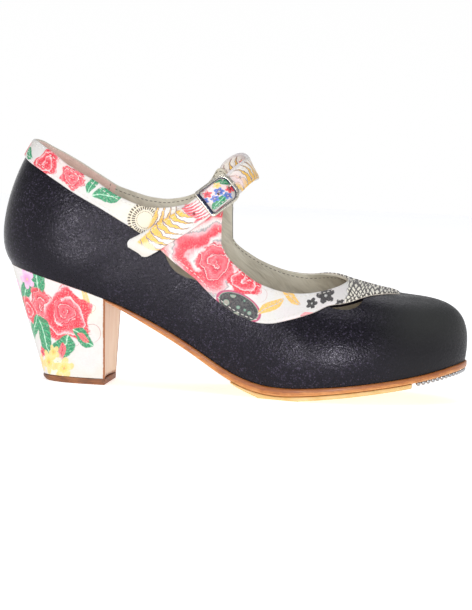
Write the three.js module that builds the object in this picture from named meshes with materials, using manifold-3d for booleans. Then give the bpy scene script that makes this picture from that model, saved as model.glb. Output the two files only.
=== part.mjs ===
import * as THREE from 'three';
import { mergeVertices } from 'three/addons/utils/BufferGeometryUtils.js';
import Module from 'manifold-3d';

// A heeled dance shoe for the right foot, buckled over the instep.
// Lengths are in millimetres: X runs to the toe, Y to the inner side, Z up from the floor.
// The origin lies on the floor under the middle of the heel's tread.

// Sizes of the last, the form that the upper is drawn over
const lastLength = 239.5;
const heelReach = 36.75;
const ballWidth = 82;
const coneHeight = 95;
const heelRise = 54;
const toeSpring = 15;
const sideSwell = 6.8;
const swellRise = 8.5;
const swellShare = 0.25;

// Sizes of the leather and the gaps between pieces
const upperWall = 2;
const bandThickness = 1.2;
const seatGap = 0.3;
const insoleThickness = 2.5;

// Sizes of the soles
const soleThickness = 4.2;
const soleWelt = 0.8;
const rubberThickness = 2.1;
const rubberTip = 0.75;
const rubberTail = 14;
const flatLength = 22;
const nailField = 26.5;

// Sizes of the heel
const treadLength = 35.5;
const treadWidth = 36;
const coverThickness = 1;
const liftThickness = 3;
const breastHollow = 1.6;
const liftBevel = 1.6;

// Sizes of the nail heads under the toe
const nailDiameter = 2.5;
const nailHeight = 1.9;
const nailPitch = 2.95;
const nailInset = 1.7;

// Sizes of the strap and the buckle
const strapWidth = 12;
const strapThickness = 2;
const strapEdge = 0.4;
const strapSlant = 5;
const barRise = 1.9;
const strapHole = 1.6;
const holePitch = 15.5;
const buckleLength = 20;
const buckleSlack = 0.45;
const buckleRim = 1.5;
const buckleEndBar = 2.2;
const buckleHeight = 1.8;
const buckleCorner = 3.8;
const rimRise = 0.85;
const barDiameter = 1.5;
const prongWidth = 1.1;
const prongHeight = 0.9;

// Places along the shoe that follow from the sizes. The ball lies at this share of the last.
const ballShare = 0.612;
const breastAt = treadLength / 2;
const toePoint = lastLength - heelReach;
const flatMiddle = ballShare * lastLength - heelReach;
const flatBack = flatMiddle - flatLength / 2;
const flatFront = flatMiddle + flatLength / 2;
const rubberBack = flatBack - rubberTail;
const rubberFront = toePoint - nailField;
const stackHeight = soleThickness + rubberThickness + seatGap;
const quarterTurn = Math.PI / 2;

// Sections of the last from the heel point to the toe point. along, ridge: shares of the last's
// length. outer, inner, side: shares of the ball width. rise: share of the cone height.
const lastRows = [
  { along: 0, outer: 0, inner: 0, ridge: 0.269, side: 0, rise: 1, full: 2, swell: 1 },
  { along: 0.021, outer: 0.189, inner: 0.189, ridge: 0.269, side: 0, rise: 1.01, full: 2, swell: 0.9 },
  { along: 0.094, outer: 0.313, inner: 0.307, ridge: 0.278, side: 0, rise: 1.06, full: 2, swell: 0.66 },
  { along: 0.194, outer: 0.344, inner: 0.329, ridge: 0.303, side: 0, rise: 1.13, full: 2, swell: 0.52 },
  { along: 0.311, outer: 0.332, inner: 0.287, ridge: 0.361, side: 0, rise: 1.22, full: 2.05, swell: 0.44 },
  { along: 0.428, outer: 0.341, inner: 0.262, ridge: 0.445, side: 0.012, rise: 1.23, full: 2.1, swell: 0.44 },
  { along: 0.545, outer: 0.415, inner: 0.317, ridge: 0.545, side: 0.03, rise: 0.95, full: 2.15, swell: 0.48 },
  { along: 0.653, outer: 0.5, inner: 0.402, ridge: 0.645, side: 0.049, rise: 0.666, full: 2.25, swell: 0.5 },
  { along: 0.754, outer: 0.5, inner: 0.451, ridge: 0.729, side: 0.055, rise: 0.538, full: 2.4, swell: 0.47 },
  { along: 0.854, outer: 0.421, inner: 0.427, ridge: 0.787, side: 0.049, rise: 0.455, full: 2.7, swell: 0.38 },
  { along: 0.933, outer: 0.287, inner: 0.335, ridge: 0.82, side: 0.043, rise: 0.392, full: 3, swell: 0.3 },
  { along: 0.983, outer: 0.128, inner: 0.207, ridge: 0.833, side: 0.043, rise: 0.351, full: 3.3, swell: 0.22 },
  { along: 1, outer: -0.037, inner: 0.037, ridge: 0.837, side: 0.043, rise: 0.336, full: 3.4, swell: 0.18 },
];

// Side profile of the seat at twelve equal steps from heel point to toe point.
// heel: share of the heel's rise. toe: share of the toe spring.
const seatRows = [
  { heel: 1.000, toe: 0 }, { heel: 0.905, toe: 0 }, { heel: 0.805, toe: 0 }, { heel: 0.684, toe: 0 },
  { heel: 0.522, toe: 0 }, { heel: 0.326, toe: 0 }, { heel: 0.112, toe: 0 }, { heel: 0.002, toe: 0 },
  { heel: 0, toe: 0.022 }, { heel: 0, toe: 0.16 }, { heel: 0, toe: 0.36 }, { heel: 0, toe: 0.625 },
  { heel: 0, toe: 1 },
];

// Cutting lines of the upper, in turn from the heel seam to the throat. foot: station at the sole.
// low, lowTurn: the printed band's lower edge. top, topTurn: the outer side's topline.
// inTop, inTurn: the inner side's topline. A turn of 1 is the ridge.
const cutRows = [
  { foot: 0.00, low: 0.00, lowTurn: 0.402, top: 0.00, topTurn: 0.476, inTop: 0.00, inTurn: 0.476 },
  { foot: 0.36, low: 0.35, lowTurn: 0.400, top: 0.40, topTurn: 0.476, inTop: 0.35, inTurn: 0.476 },
  { foot: 0.72, low: 0.70, lowTurn: 0.394, top: 0.80, topTurn: 0.474, inTop: 0.70, inTurn: 0.473 },
  { foot: 1.42, low: 1.40, lowTurn: 0.369, top: 1.58, topTurn: 0.445, inTop: 1.48, inTurn: 0.442 },
  { foot: 2.08, low: 2.05, lowTurn: 0.333, top: 2.31, topTurn: 0.394, inTop: 2.10, inTurn: 0.407 },
  { foot: 2.68, low: 2.65, lowTurn: 0.297, top: 2.95, topTurn: 0.359, inTop: 2.70, inTurn: 0.367 },
  { foot: 3.17, low: 3.15, lowTurn: 0.271, top: 3.48, topTurn: 0.324, inTop: 3.20, inTurn: 0.337 },
  { foot: 3.56, low: 3.54, lowTurn: 0.250, top: 3.86, topTurn: 0.317, inTop: 3.65, inTurn: 0.331 },
  { foot: 3.95, low: 3.93, lowTurn: 0.233, top: 4.22, topTurn: 0.332, inTop: 4.00, inTurn: 0.340 },
  { foot: 4.30, low: 4.29, lowTurn: 0.211, top: 4.60, topTurn: 0.370, inTop: 4.40, inTurn: 0.372 },
  { foot: 4.60, low: 4.60, lowTurn: 0.195, top: 4.86, topTurn: 0.418, inTop: 4.70, inTurn: 0.422 },
  { foot: 4.82, low: 4.80, lowTurn: 0.192, top: 5.03, topTurn: 0.501, inTop: 4.92, inTurn: 0.497 },
  { foot: 5.00, low: 4.97, lowTurn: 0.191, top: 5.15, topTurn: 0.561, inTop: 5.06, inTurn: 0.577 },
  { foot: 5.15, low: 5.12, lowTurn: 0.187, top: 5.27, topTurn: 0.576, inTop: 5.20, inTurn: 0.604 },
  { foot: 5.31, low: 5.27, lowTurn: 0.185, top: 5.37, topTurn: 0.545, inTop: 5.33, inTurn: 0.576 },
  { foot: 5.48, low: 5.43, lowTurn: 0.187, top: 5.34, topTurn: 0.491, inTop: 5.36, inTurn: 0.496 },
  { foot: 5.66, low: 5.62, lowTurn: 0.193, top: 5.28, topTurn: 0.434, inTop: 5.30, inTurn: 0.442 },
  { foot: 5.87, low: 5.85, lowTurn: 0.207, top: 5.32, topTurn: 0.383, inTop: 5.30, inTurn: 0.398 },
  { foot: 6.11, low: 6.10, lowTurn: 0.226, top: 5.56, topTurn: 0.352, inTop: 5.46, inTurn: 0.373 },
  { foot: 6.40, low: 6.40, lowTurn: 0.262, top: 5.95, topTurn: 0.370, inTop: 5.81, inTurn: 0.402 },
  { foot: 6.70, low: 6.70, lowTurn: 0.313, top: 6.40, topTurn: 0.417, inTop: 6.20, inTurn: 0.454 },
  { foot: 7.00, low: 7.00, lowTurn: 0.369, top: 6.85, topTurn: 0.481, inTop: 6.60, inTurn: 0.522 },
  { foot: 7.30, low: 7.30, lowTurn: 0.429, top: 7.27, topTurn: 0.558, inTop: 7.00, inTurn: 0.613 },
  { foot: 7.58, low: 7.60, lowTurn: 0.499, top: 7.60, topTurn: 0.634, inTop: 7.35, inTurn: 0.727 },
  { foot: 7.82, low: 7.88, lowTurn: 0.533, top: 7.88, topTurn: 0.730, inTop: 7.70, inTurn: 0.850 },
  { foot: 8.02, low: 8.10, lowTurn: 0.567, top: 8.05, topTurn: 0.850, inTop: 7.98, inTurn: 0.930 },
  { foot: 8.22, low: 8.34, lowTurn: 0.618, top: 8.15, topTurn: 1, inTop: 8.15, inTurn: 1 },
  { foot: 8.55, low: 8.62, lowTurn: 0.674, top: 8.60, topTurn: 1, inTop: 8.60, inTurn: 1 },
  { foot: 8.90, low: 8.95, lowTurn: 0.727, top: 9.00, topTurn: 1, inTop: 9.00, inTurn: 1 },
  { foot: 9.30, low: 9.35, lowTurn: 0.790, top: 9.40, topTurn: 1, inTop: 9.40, inTurn: 1 },
  { foot: 9.75, low: 9.80, lowTurn: 0.850, top: 9.85, topTurn: 1, inTop: 9.85, inTurn: 1 },
  { foot: 10.25, low: 10.30, lowTurn: 0.895, top: 10.35, topTurn: 1, inTop: 10.35, inTurn: 1 },
  { foot: 10.80, low: 10.85, lowTurn: 0.925, top: 10.90, topTurn: 1, inTop: 10.90, inTurn: 1 },
  { foot: 11.40, low: 11.43, lowTurn: 0.942, top: 11.45, topTurn: 1, inTop: 11.45, inTurn: 1 },
  { foot: 12.00, low: 12.00, lowTurn: 0.948, top: 12.00, topTurn: 1, inTop: 12.00, inTurn: 1 },
];
const throatRow = cutRows.findIndex((row) => row.topTurn === 1);

// Half-moon cut-outs below the band's edge: station and turn along the lower arc
const backCutout = [
  { at: 4.37, turn: 0.206 }, { at: 4.43, turn: 0.191 }, { at: 4.52, turn: 0.178 }, { at: 4.63, turn: 0.173 },
  { at: 4.76, turn: 0.175 }, { at: 4.88, turn: 0.183 }, { at: 4.99, turn: 0.190 },
];
const frontCutout = [
  { at: 7.57, turn: 0.492 }, { at: 7.68, turn: 0.486 }, { at: 7.84, turn: 0.487 }, { at: 8.00, turn: 0.494 },
  { at: 8.16, turn: 0.519 }, { at: 8.28, turn: 0.556 }, { at: 8.37, turn: 0.610 }, { at: 8.40, turn: 0.633 },
];

// Strap's middle line from its root on the inner wing to its end on the outer quarter.
// side: 1 outer, -1 inner. lift: extra height over the band, a share of the bar's rise.
const strapRows = [
  { side: -1, at: 5.12, turn: 0.455, lift: 0 },
  { side: -1, at: 5.18, turn: 0.530, lift: 0 },
  { side: -1, at: 5.26, turn: 0.620, lift: 0.1 },
  { side: -1, at: 5.42, turn: 0.740, lift: 0.1 },
  { side: -1, at: 5.56, turn: 0.870, lift: 0.1 },
  { side: 1, at: 5.65, turn: 1.000, lift: 0.1 },
  { side: 1, at: 5.63, turn: 0.870, lift: 0.1 },
  { side: 1, at: 5.545, turn: 0.725, lift: 0.1 },
  { side: 1, at: 5.42, turn: 0.605, lift: 0.3 },
  { side: 1, at: 5.235, turn: 0.507, lift: 1.00 },
  { side: 1, at: 5.02, turn: 0.420, lift: 0.3 },
  { side: 1, at: 4.69, turn: 0.329, lift: 0.1 },
  { side: 1, at: 4.33, turn: 0.261, lift: 0.1 },
  { side: 1, at: 4.08, turn: 0.216, lift: 0.25 },
  { side: 1, at: 3.78, turn: 0.170, lift: 0.4 },
];
const barRow = 9;

const wasm = await Module();
wasm.setup();
const shoe = new THREE.Group();

// Slopes of a smooth curve through equal steps, closed on itself or free at its ends
function loopSlopes(values) {
  const count = values.length;
  let slopes = values.map(() => 0);
  for (let pass = 0; pass < 60; pass += 1) {
    slopes = values.map((value, i) => {
      const next = (i + 1) % count;
      const last = (i + count - 1) % count;
      return (3 * (values[next] - values[last]) - slopes[next] - slopes[last]) / 4;
    });
  }
  return slopes;
}
function openCurve(values) {
  const first = values[0];
  const last = values[values.length - 1];
  const before = values.slice(1).reverse().map((value) => 2 * first - value);
  const after = values.slice(0, -1).reverse().map((value) => 2 * last - value);
  const joined = [...before, ...values, ...after];
  const size = joined.length;
  const near = (i) => joined[Math.min(Math.max(i, 0), size - 1)];
  let slopes = joined.map((value, i) => (near(i + 1) - near(i - 1)) / 2);
  for (let pass = 0; pass < 60; pass += 1) {
    slopes = joined.map((value, i) => (i === 0 || i === size - 1 ? slopes[i]
      : (3 * (joined[i + 1] - joined[i - 1]) - slopes[i - 1] - slopes[i + 1]) / 4));
  }
  const start = values.length - 1;
  return { values, slopes: slopes.slice(start, start + values.length) };
}
function hermite(v0, v1, m0, m1, f) {
  const rest = 1 - f;
  return rest * rest * (v0 * (1 + 2 * f) + m0 * f) + f * f * (v1 * (3 - 2 * f) - m1 * rest);
}
function onLoop(curve, at) {
  const count = curve.values.length;
  const station = ((at % count) + count) % count;
  const i = Math.floor(station);
  const j = (i + 1) % count;
  return hermite(curve.values[i], curve.values[j], curve.slopes[i], curve.slopes[j], station - i);
}
function onOpen(curve, at) {
  const i = Math.min(Math.max(Math.floor(at), 0), curve.values.length - 2);
  return hermite(curve.values[i], curve.values[i + 1], curve.slopes[i], curve.slopes[i + 1], at - i);
}

// Each column of the last's table as a loop: the outer side to the toe, then the inner side back
const toeStation = lastRows.length - 1;
const loopStations = 2 * toeStation;
function loopColumn(outer, inner) {
  const values = [...lastRows.map(outer), ...lastRows.slice(1, -1).reverse().map(inner)];
  return { values, slopes: loopSlopes(values) };
}
const footAlong = loopColumn((row) => row.along, (row) => row.along);
const footSide = loopColumn((row) => -row.outer, (row) => row.inner);
const ridgeAlong = loopColumn((row) => row.ridge, (row) => row.ridge);
const ridgeSide = loopColumn((row) => row.side, (row) => row.side);
const ridgeRise = loopColumn((row) => row.rise, (row) => row.rise);
const fullness = loopColumn((row) => row.full, (row) => row.full);
const swelling = loopColumn((row) => row.swell, (row) => row.swell);
const heelProfile = openCurve(seatRows.map((row) => row.heel));
const toeProfile = openCurve(seatRows.map((row) => row.toe));

// Height of the upper's lower edge over the floor, at a place along the shoe
function seatHeight(x) {
  const share = (x + heelReach) / lastLength;
  const at = share * (seatRows.length - 1);
  return stackHeight + heelRise * onOpen(heelProfile, at) + toeSpring * onOpen(toeProfile, at);
}

// A point of the last's surface: a station round the foot, and a turn from the sole to the ridge
function lastPoint(station, turn) {
  const footX = onLoop(footAlong, station) * lastLength - heelReach;
  const footY = onLoop(footSide, station) * ballWidth;
  const ridgeX = onLoop(ridgeAlong, station) * lastLength - heelReach;
  const ridgeY = onLoop(ridgeSide, station) * ballWidth;
  const power = onLoop(fullness, station);
  const cosine = Math.cos(turn * quarterTurn);
  const sine = Math.sin(turn * quarterTurn);
  const radius = (Math.abs(cosine) ** power + Math.abs(sine) ** power) ** (-1 / power);
  const out = radius * cosine;
  const height = radius * sine * onLoop(ridgeRise, station) * coneHeight;
  const dx = footX - ridgeX;
  const dy = footY - ridgeY;
  const span = Math.hypot(dx, dy);
  const swell = onLoop(swelling, station) * sideSwell * (1 - Math.exp(-height / swellRise));
  const reach = out * span + swell * Math.min(1, out / swellShare);
  const share = reach / span;
  return new THREE.Vector3(ridgeX + dx * share, ridgeY + dy * share, seatHeight(footX) + height);
}
function lastNormal(station, turn) {
  const step = 0.004;
  const high = Math.min(turn, 1 - step);
  const along = lastPoint(station + step, high).sub(lastPoint(station - step, high));
  const up = lastPoint(station, high + step).sub(lastPoint(station, Math.max(high - step, 0)));
  return along.cross(up).normalize();
}
// A point a given distance off the last; at the sole's edge the distance is level
function offsetPoint(station, turn, offset) {
  const point = lastPoint(station, turn);
  const normal = lastNormal(station, turn);
  if (turn >= 1) {
    normal.add(lastNormal(loopStations - station, turn)).normalize();
  }
  const level = Math.min(1, (point.z - lastPoint(station, 0).z) / (2 * upperWall));
  normal.z *= level;
  return point.addScaledVector(normal.normalize(), offset);
}

// One closed body from corner points and faces
function bodyFrom(points, faces) {
  const geometry = new THREE.BufferGeometry();
  const corners = points.flatMap((point) => [point.x, point.y, point.z]);
  geometry.setAttribute('position', new THREE.Float32BufferAttribute(corners, 3));
  geometry.setIndex(faces.flat());
  return geometry;
}
function toSolid(geometry) {
  const plain = geometry.clone();
  plain.deleteAttribute('normal');
  plain.deleteAttribute('uv');
  const merged = mergeVertices(plain, 1e-4);
  return new wasm.Manifold(new wasm.Mesh({
    numProp: 3,
    vertProperties: new Float32Array(merged.attributes.position.array),
    triVerts: new Uint32Array(merged.index.array),
  }));
}
function toGeometry(solid) {
  const mesh = solid.getMesh();
  const geometry = new THREE.BufferGeometry();
  geometry.setAttribute('position', new THREE.BufferAttribute(new Float32Array(mesh.vertProperties), 3));
  geometry.setIndex(Array.from(mesh.triVerts));
  return geometry;
}
function addPiece(name, geometry, color, roughness, metalness) {
  const mesh = new THREE.Mesh(geometry, new THREE.MeshStandardMaterial({ color, roughness, metalness }));
  mesh.name = name;
  shoe.add(mesh);
  return mesh;
}

// The path of one column over the last: from the sole to the band's edge, then to the topline
function columnPath(row, inner, lowSteps, bandSteps) {
  const turned = (station) => (inner ? loopStations - station : station);
  const top = inner ? row.inTop : row.top;
  const topTurn = inner ? row.inTurn : row.topTurn;
  const path = [];
  for (let k = 0; k < lowSteps; k += 1) {
    const f = k / lowSteps;
    path.push([turned(row.foot + (row.low - row.foot) * f), row.lowTurn * f]);
  }
  for (let k = 0; k <= bandSteps; k += 1) {
    const f = k / bandSteps;
    path.push([turned(row.low + (top - row.low) * f), row.lowTurn + (topTurn - row.lowTurn) * f]);
  }
  return path;
}

// A leather layer round the whole shoe between two distances off the last
function leatherLayer(lowSteps, bandSteps, insideOffset, outsideOffset) {
  const last = cutRows.length - 1;
  const columns = [];
  for (let i = 0; i <= last; i += 1) {
    columns.push({ row: i, inner: false });
  }
  for (let i = last - 1; i > 0; i -= 1) {
    columns.push({ row: i, inner: true });
  }
  const points = [];
  const grids = [insideOffset, outsideOffset].map((offset) => {
    const grid = [];
    columns.forEach(({ row, inner }) => {
      const path = columnPath(cutRows[row], inner, lowSteps, bandSteps);
      grid.push(path.map(([station, turn], k) => {
        if (inner && row >= throatRow && k === path.length - 1) {
          return grid[row][k];
        }
        points.push(offsetPoint(station, turn, offset));
        return points.length - 1;
      }));
    });
    return grid;
  });
  const faces = [];
  const quad = (a, b, c, d) => {
    if (a !== b && a !== c && b !== c) faces.push([a, b, c]);
    if (a !== c && a !== d && c !== d) faces.push([a, c, d]);
  };
  const [under, over] = grids;
  const top = under[0].length - 1;
  columns.forEach((column, i) => {
    const j = (i + 1) % columns.length;
    for (let k = 0; k < top; k += 1) {
      quad(over[i][k], over[j][k], over[j][k + 1], over[i][k + 1]);
      quad(under[i][k], under[i][k + 1], under[j][k + 1], under[j][k]);
    }
    quad(under[i][0], under[j][0], over[j][0], over[i][0]);
    if (Math.min(column.row, columns[j].row) < throatRow) {
      quad(over[i][top], over[j][top], under[j][top], under[i][top]);
    }
  });
  return bodyFrom(points, faces);
}

// The band's lower edge at a station, read along the straight pieces between the rows
function bandEdgeTurn(station) {
  let i = 1;
  while (cutRows[i].low < station) {
    i += 1;
  }
  const f = (station - cutRows[i - 1].low) / (cutRows[i].low - cutRows[i - 1].low);
  return cutRows[i - 1].lowTurn + (cutRows[i].lowTurn - cutRows[i - 1].lowTurn) * f;
}
// A block through the wall, in the shape of a half-moon under the band's edge
function cutoutBlock(arc, inner) {
  const points = [];
  const last = arc.length - 1;
  const turned = (station) => (inner ? loopStations - station : station);
  const rings = [-2 * upperWall, 2 * upperWall].map((offset) => arc.map((row, i) => {
    const station = turned(row.at);
    const low = points.push(offsetPoint(station, row.turn, offset)) - 1;
    const sharp = i === 0 || i === last;
    const high = sharp ? low : points.push(offsetPoint(station, bandEdgeTurn(row.at), offset)) - 1;
    return { low, high };
  }));
  const faces = [];
  const quad = (a, b, c, d) => {
    if (a !== b && a !== c && b !== c) faces.push(inner ? [a, c, b] : [a, b, c]);
    if (a !== c && a !== d && c !== d) faces.push(inner ? [a, d, c] : [a, c, d]);
  };
  const [under, over] = rings;
  for (let i = 0; i < last; i += 1) {
    quad(over[i].low, over[i + 1].low, over[i + 1].high, over[i].high);
    quad(under[i + 1].low, under[i].low, under[i].high, under[i + 1].high);
    quad(under[i].low, under[i + 1].low, over[i + 1].low, over[i].low);
    quad(over[i].high, over[i + 1].high, under[i + 1].high, under[i].high);
  }
  return toSolid(bodyFrom(points, faces));
}

let upper = toSolid(leatherLayer(6, 3, -upperWall, 0));
[backCutout, frontCutout].forEach((arc) => {
  upper = upper.subtract(cutoutBlock(arc, false)).subtract(cutoutBlock(arc, true));
});
addPiece('upper', toGeometry(upper), 0x25252b, 0.5, 0);
addPiece('collar_overlay', leatherLayer(0, 3, seatGap, seatGap + bandThickness), 0xf4f0ea, 0.6, 0);

// The sole's edge line moved outward by a distance, as pairs of outer and inner points
function edgePoint(station, outward) {
  const step = 0.01;
  const at = (place) => new THREE.Vector2(onLoop(footAlong, place) * lastLength - heelReach,
    onLoop(footSide, place) * ballWidth);
  const along = at(station + step).sub(at(station - step)).normalize();
  const point = at(station);
  return new THREE.Vector2(point.x + along.y * outward, point.y - along.x * outward);
}
function stationAt(x) {
  let low = 0;
  let high = toeStation;
  for (let pass = 0; pass < 40; pass += 1) {
    const middle = (low + high) / 2;
    if (onLoop(footAlong, middle) * lastLength - heelReach < x) {
      low = middle;
    } else {
      high = middle;
    }
  }
  return (low + high) / 2;
}

// A plate built on rungs across the shoe. Each rung has an outer and an inner point, or one point
// at the heel or toe end, and every point has its own lower and upper height.
function plate(rungs) {
  const points = [];
  const corners = rungs.map((rung) => rung.map(({ x, y, low, high }) => {
    points.push(new THREE.Vector3(x, y, low), new THREE.Vector3(x, y, high));
    return points.length - 2;
  }));
  const faces = [];
  const face = (a, b, c) => {
    if (a !== b && b !== c && a !== c) faces.push([a, b, c]);
  };
  for (let i = 0; i < corners.length - 1; i += 1) {
    const a = corners[i][0];
    const b = corners[i + 1][0];
    const c = corners[i + 1][corners[i + 1].length - 1];
    const d = corners[i][corners[i].length - 1];
    face(a + 1, b + 1, c + 1);
    face(a + 1, c + 1, d + 1);
    face(a, c, b);
    face(a, d, c);
    face(a, b, b + 1);
    face(a, b + 1, a + 1);
    face(d, d + 1, c + 1);
    face(d, c + 1, c);
  }
  const close = (rung, flip) => {
    if (rung.length === 2) {
      const [a, d] = rung;
      faces.push(flip ? [a, d, d + 1] : [a, d + 1, d], flip ? [a, d + 1, a + 1] : [a, a + 1, d + 1]);
    }
  };
  close(corners[0], false);
  close(corners[corners.length - 1], true);
  return bodyFrom(points, faces);
}
function rungsBetween(stations, outward, lowAt, highAt) {
  return stations.map((station) => {
    const ends = station === 0 || station === toeStation ? [station] : [station, loopStations - station];
    return ends.map((at) => {
      const { x, y } = edgePoint(at, outward);
      return { x, y, low: lowAt(x), high: highAt(x) };
    });
  });
}
function stationsBetween(from, to, steps) {
  return Array.from({ length: steps + 1 }, (unused, i) => from + (to - from) * i / steps);
}

// Insole inside the upper, and the leather sole from the heel's breast to the toe
const insoleInset = -(upperWall + 2 * seatGap);
const insole = plate(rungsBetween(cutRows.map((row) => row.foot), insoleInset,
  (x) => seatHeight(x), (x) => seatHeight(x) + insoleThickness));
addPiece('insole', insole, 0xa89a84, 0.8, 0);

// Thickness of the leather sole from the breast to the toe, in shares of the full thickness
const soleCurve = openCurve([0.22, 0.62, 0.86, 0.95, 1, 1, 0.93, 0.82, 0.76, 0.75, 0.78, 0.84]);
const soleBackX = breastAt + seatGap;
function soleBottom(x) {
  const share = Math.min(Math.max((x - soleBackX) / (toePoint - soleBackX), 0), 1);
  return seatHeight(x) - seatGap - soleThickness * onOpen(soleCurve, share * (soleCurve.values.length - 1));
}
const soleRungs = rungsBetween(stationsBetween(stationAt(soleBackX), toeStation, 30), soleWelt,
  soleBottom, (x) => seatHeight(x) - seatGap);
soleRungs[0].forEach((corner) => {
  corner.x = soleBackX;
});
addPiece('outsole', plate(soleRungs), 0xa8602f, 0.5, 0);

// Rubber half sole, flat on the floor at the ball, thinned to its rear edge and lifting to both ends
const tailLift = 0.12;
const frontLift = 0.015;
function rubberBottom(x) {
  if (Math.abs(x - flatMiddle) < flatLength / 2 + seatGap) {
    return 0;
  }
  const share = Math.min(Math.max((x - rubberBack) / rubberTail, 0), 1);
  const thickness = rubberTip + (rubberThickness - rubberTip) * share;
  const lift = x < flatBack ? (flatBack - x) * tailLift : (x - flatFront) * frontLift;
  return Math.max(soleBottom(x) - seatGap - thickness, lift);
}
const rubberStations = [
  ...stationsBetween(stationAt(rubberBack), stationAt(flatBack), 5),
  ...stationsBetween(stationAt(flatBack), stationAt(flatFront), 4).slice(1),
  ...stationsBetween(stationAt(flatFront), stationAt(rubberFront), 9).slice(1),
];
addPiece('half_sole', plate(rungsBetween(rubberStations, soleWelt, rubberBottom,
  (x) => soleBottom(x) - seatGap)), 0xe8bd72, 0.45, 0);

// Heel outlines at the seat and at the tread, moved inward by a distance
const breastStation = stationAt(breastAt);
const heelSteps = 11;
const seatWidth = edgePoint(loopStations - breastStation, 0).y - edgePoint(breastStation, 0).y;
// Faces between one closed ring of points and the next, and between all rings of a stack
function wallFaces(rings) {
  const faces = [];
  const count = rings[0].length;
  for (let r = 0; r < rings.length - 1; r += 1) {
    for (let i = 0; i < count; i += 1) {
      const j = (i + 1) % count;
      faces.push([rings[r][j], rings[r][i], rings[r + 1][i]]);
      faces.push([rings[r][j], rings[r + 1][i], rings[r + 1][j]]);
    }
  }
  return faces;
}
// A heel wall point between the seat outline (rise 1) and the tread outline (rise 0)
function heelPoint(station, inset, rise, base) {
  const at = (station + loopStations) % loopStations;
  const full = edgePoint(at, 0);
  const moved = edgePoint(at, -inset);
  const edge = Math.abs(Math.abs(station) - breastStation) < 1e-9;
  const seatX = edge ? breastAt : moved.x;
  const narrowing = treadLength / (breastAt + heelReach);
  const treadX = breastAt - (breastAt - full.x) * narrowing + (edge ? 0 : moved.x - full.x);
  const treadY = full.y * treadWidth / seatWidth + (moved.y - full.y);
  const top = seatHeight(seatX) - seatGap;
  return new THREE.Vector3(
    treadX + (seatX - treadX) * rise,
    treadY + (moved.y - treadY) * rise,
    base + (top - base) * rise,
  );
}
const heelStations = stationsBetween(breastStation, -breastStation, 2 * heelSteps);
const heelLevels = stationsBetween(0, 1, 5);
const heelBase = liftThickness + seatGap;

// The wooden block: walls, a hollowed breast, and ends that follow the seat and the lift
function heelBlock(inset) {
  const points = [];
  const breastSteps = 6;
  const rings = heelLevels.map((rise) => {
    const wall = heelStations.map((station) => heelPoint(station, inset, rise, heelBase));
    const first = wall[0];
    const last = wall[wall.length - 1];
    const front = [];
    for (let k = 1; k < breastSteps; k += 1) {
      const f = k / breastSteps;
      const point = last.clone().lerp(first, f);
      point.x -= breastHollow * 4 * f * (1 - f);
      if (rise === 1) {
        point.z = seatHeight(point.x) - seatGap;
      }
      front.push(point);
    }
    return [...wall, ...front].map((point) => points.push(point) - 1);
  });
  const faces = wallFaces(rings);
  const cap = (ring, up) => {
    const tri = (a, b, c) => faces.push(up ? [a, b, c] : [a, c, b]);
    const wallEnd = heelStations.length - 1;
    const front = [...ring.slice(wallEnd), ring[0]].reverse();
    for (let k = 0; k < front.length - 1; k += 1) {
      tri(front[k], front[k + 1], ring[1]);
    }
    tri(ring[1], ring[wallEnd], ring[wallEnd - 1]);
    for (let i = 1; i < heelSteps - 1; i += 1) {
      tri(ring[i], ring[wallEnd - i], ring[i + 1]);
      tri(ring[i + 1], ring[wallEnd - i], ring[wallEnd - 1 - i]);
    }
    tri(ring[heelSteps - 1], ring[heelSteps + 1], ring[heelSteps]);
  };
  cap(rings[0], false);
  cap(rings[rings.length - 1], true);
  return bodyFrom(points, faces);
}
const block = heelBlock(coverThickness + seatGap);
addPiece('heel_block', block, 0xe2c69c, 0.6, 0);

// The printed cover round the heel's sides and back
function heelCover() {
  const points = [];
  const rings = [0, coverThickness].map((inset) => heelLevels.map((rise) => heelStations.map(
    (station) => points.push(heelPoint(station, inset, rise, heelBase)) - 1)));
  const faces = [];
  const quad = (a, b, c, d) => faces.push([a, b, c], [a, c, d]);
  const [over, under] = rings;
  const top = heelLevels.length - 1;
  const end = heelStations.length - 1;
  for (let i = 0; i < end; i += 1) {
    for (let r = 0; r < top; r += 1) {
      quad(over[r][i + 1], over[r][i], over[r + 1][i], over[r + 1][i + 1]);
      quad(under[r][i], under[r][i + 1], under[r + 1][i + 1], under[r + 1][i]);
    }
    quad(over[0][i], over[0][i + 1], under[0][i + 1], under[0][i]);
    quad(over[top][i + 1], over[top][i], under[top][i], under[top][i + 1]);
  }
  for (let r = 0; r < top; r += 1) {
    quad(over[r][0], under[r][0], under[r + 1][0], over[r + 1][0]);
    quad(under[r][end], over[r][end], over[r + 1][end], under[r + 1][end]);
  }
  return bodyFrom(points, faces);
}
addPiece('heel_cover', heelCover(), 0xf3eee6, 0.55, 0);

// The lift on the floor, with its rear lower corner taken off
function heelLift() {
  const wall = heelStations.map((station) => heelPoint(station, 0, 0, 0));
  const points = [];
  const rings = [0, liftBevel, liftThickness].map((z) => wall.map((point) => {
    const back = Math.max(0, Math.min(1, (breastAt - point.x) / treadLength * 2 - 1));
    const pull = z === 0 ? liftBevel * back : 0;
    return points.push(new THREE.Vector3(point.x + pull, point.y, z)) - 1;
  }));
  const faces = wallFaces(rings);
  const cap = (ring, up) => {
    for (let k = 1; k < wall.length - 1; k += 1) {
      faces.push(up ? [ring[0], ring[k + 1], ring[k]] : [ring[0], ring[k], ring[k + 1]]);
    }
  };
  cap(rings[0], false);
  cap(rings[rings.length - 1], true);
  return bodyFrom(points, faces);
}
addPiece('heel_top_lift', heelLift(), 0x7a4a2e, 0.6, 0);

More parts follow.
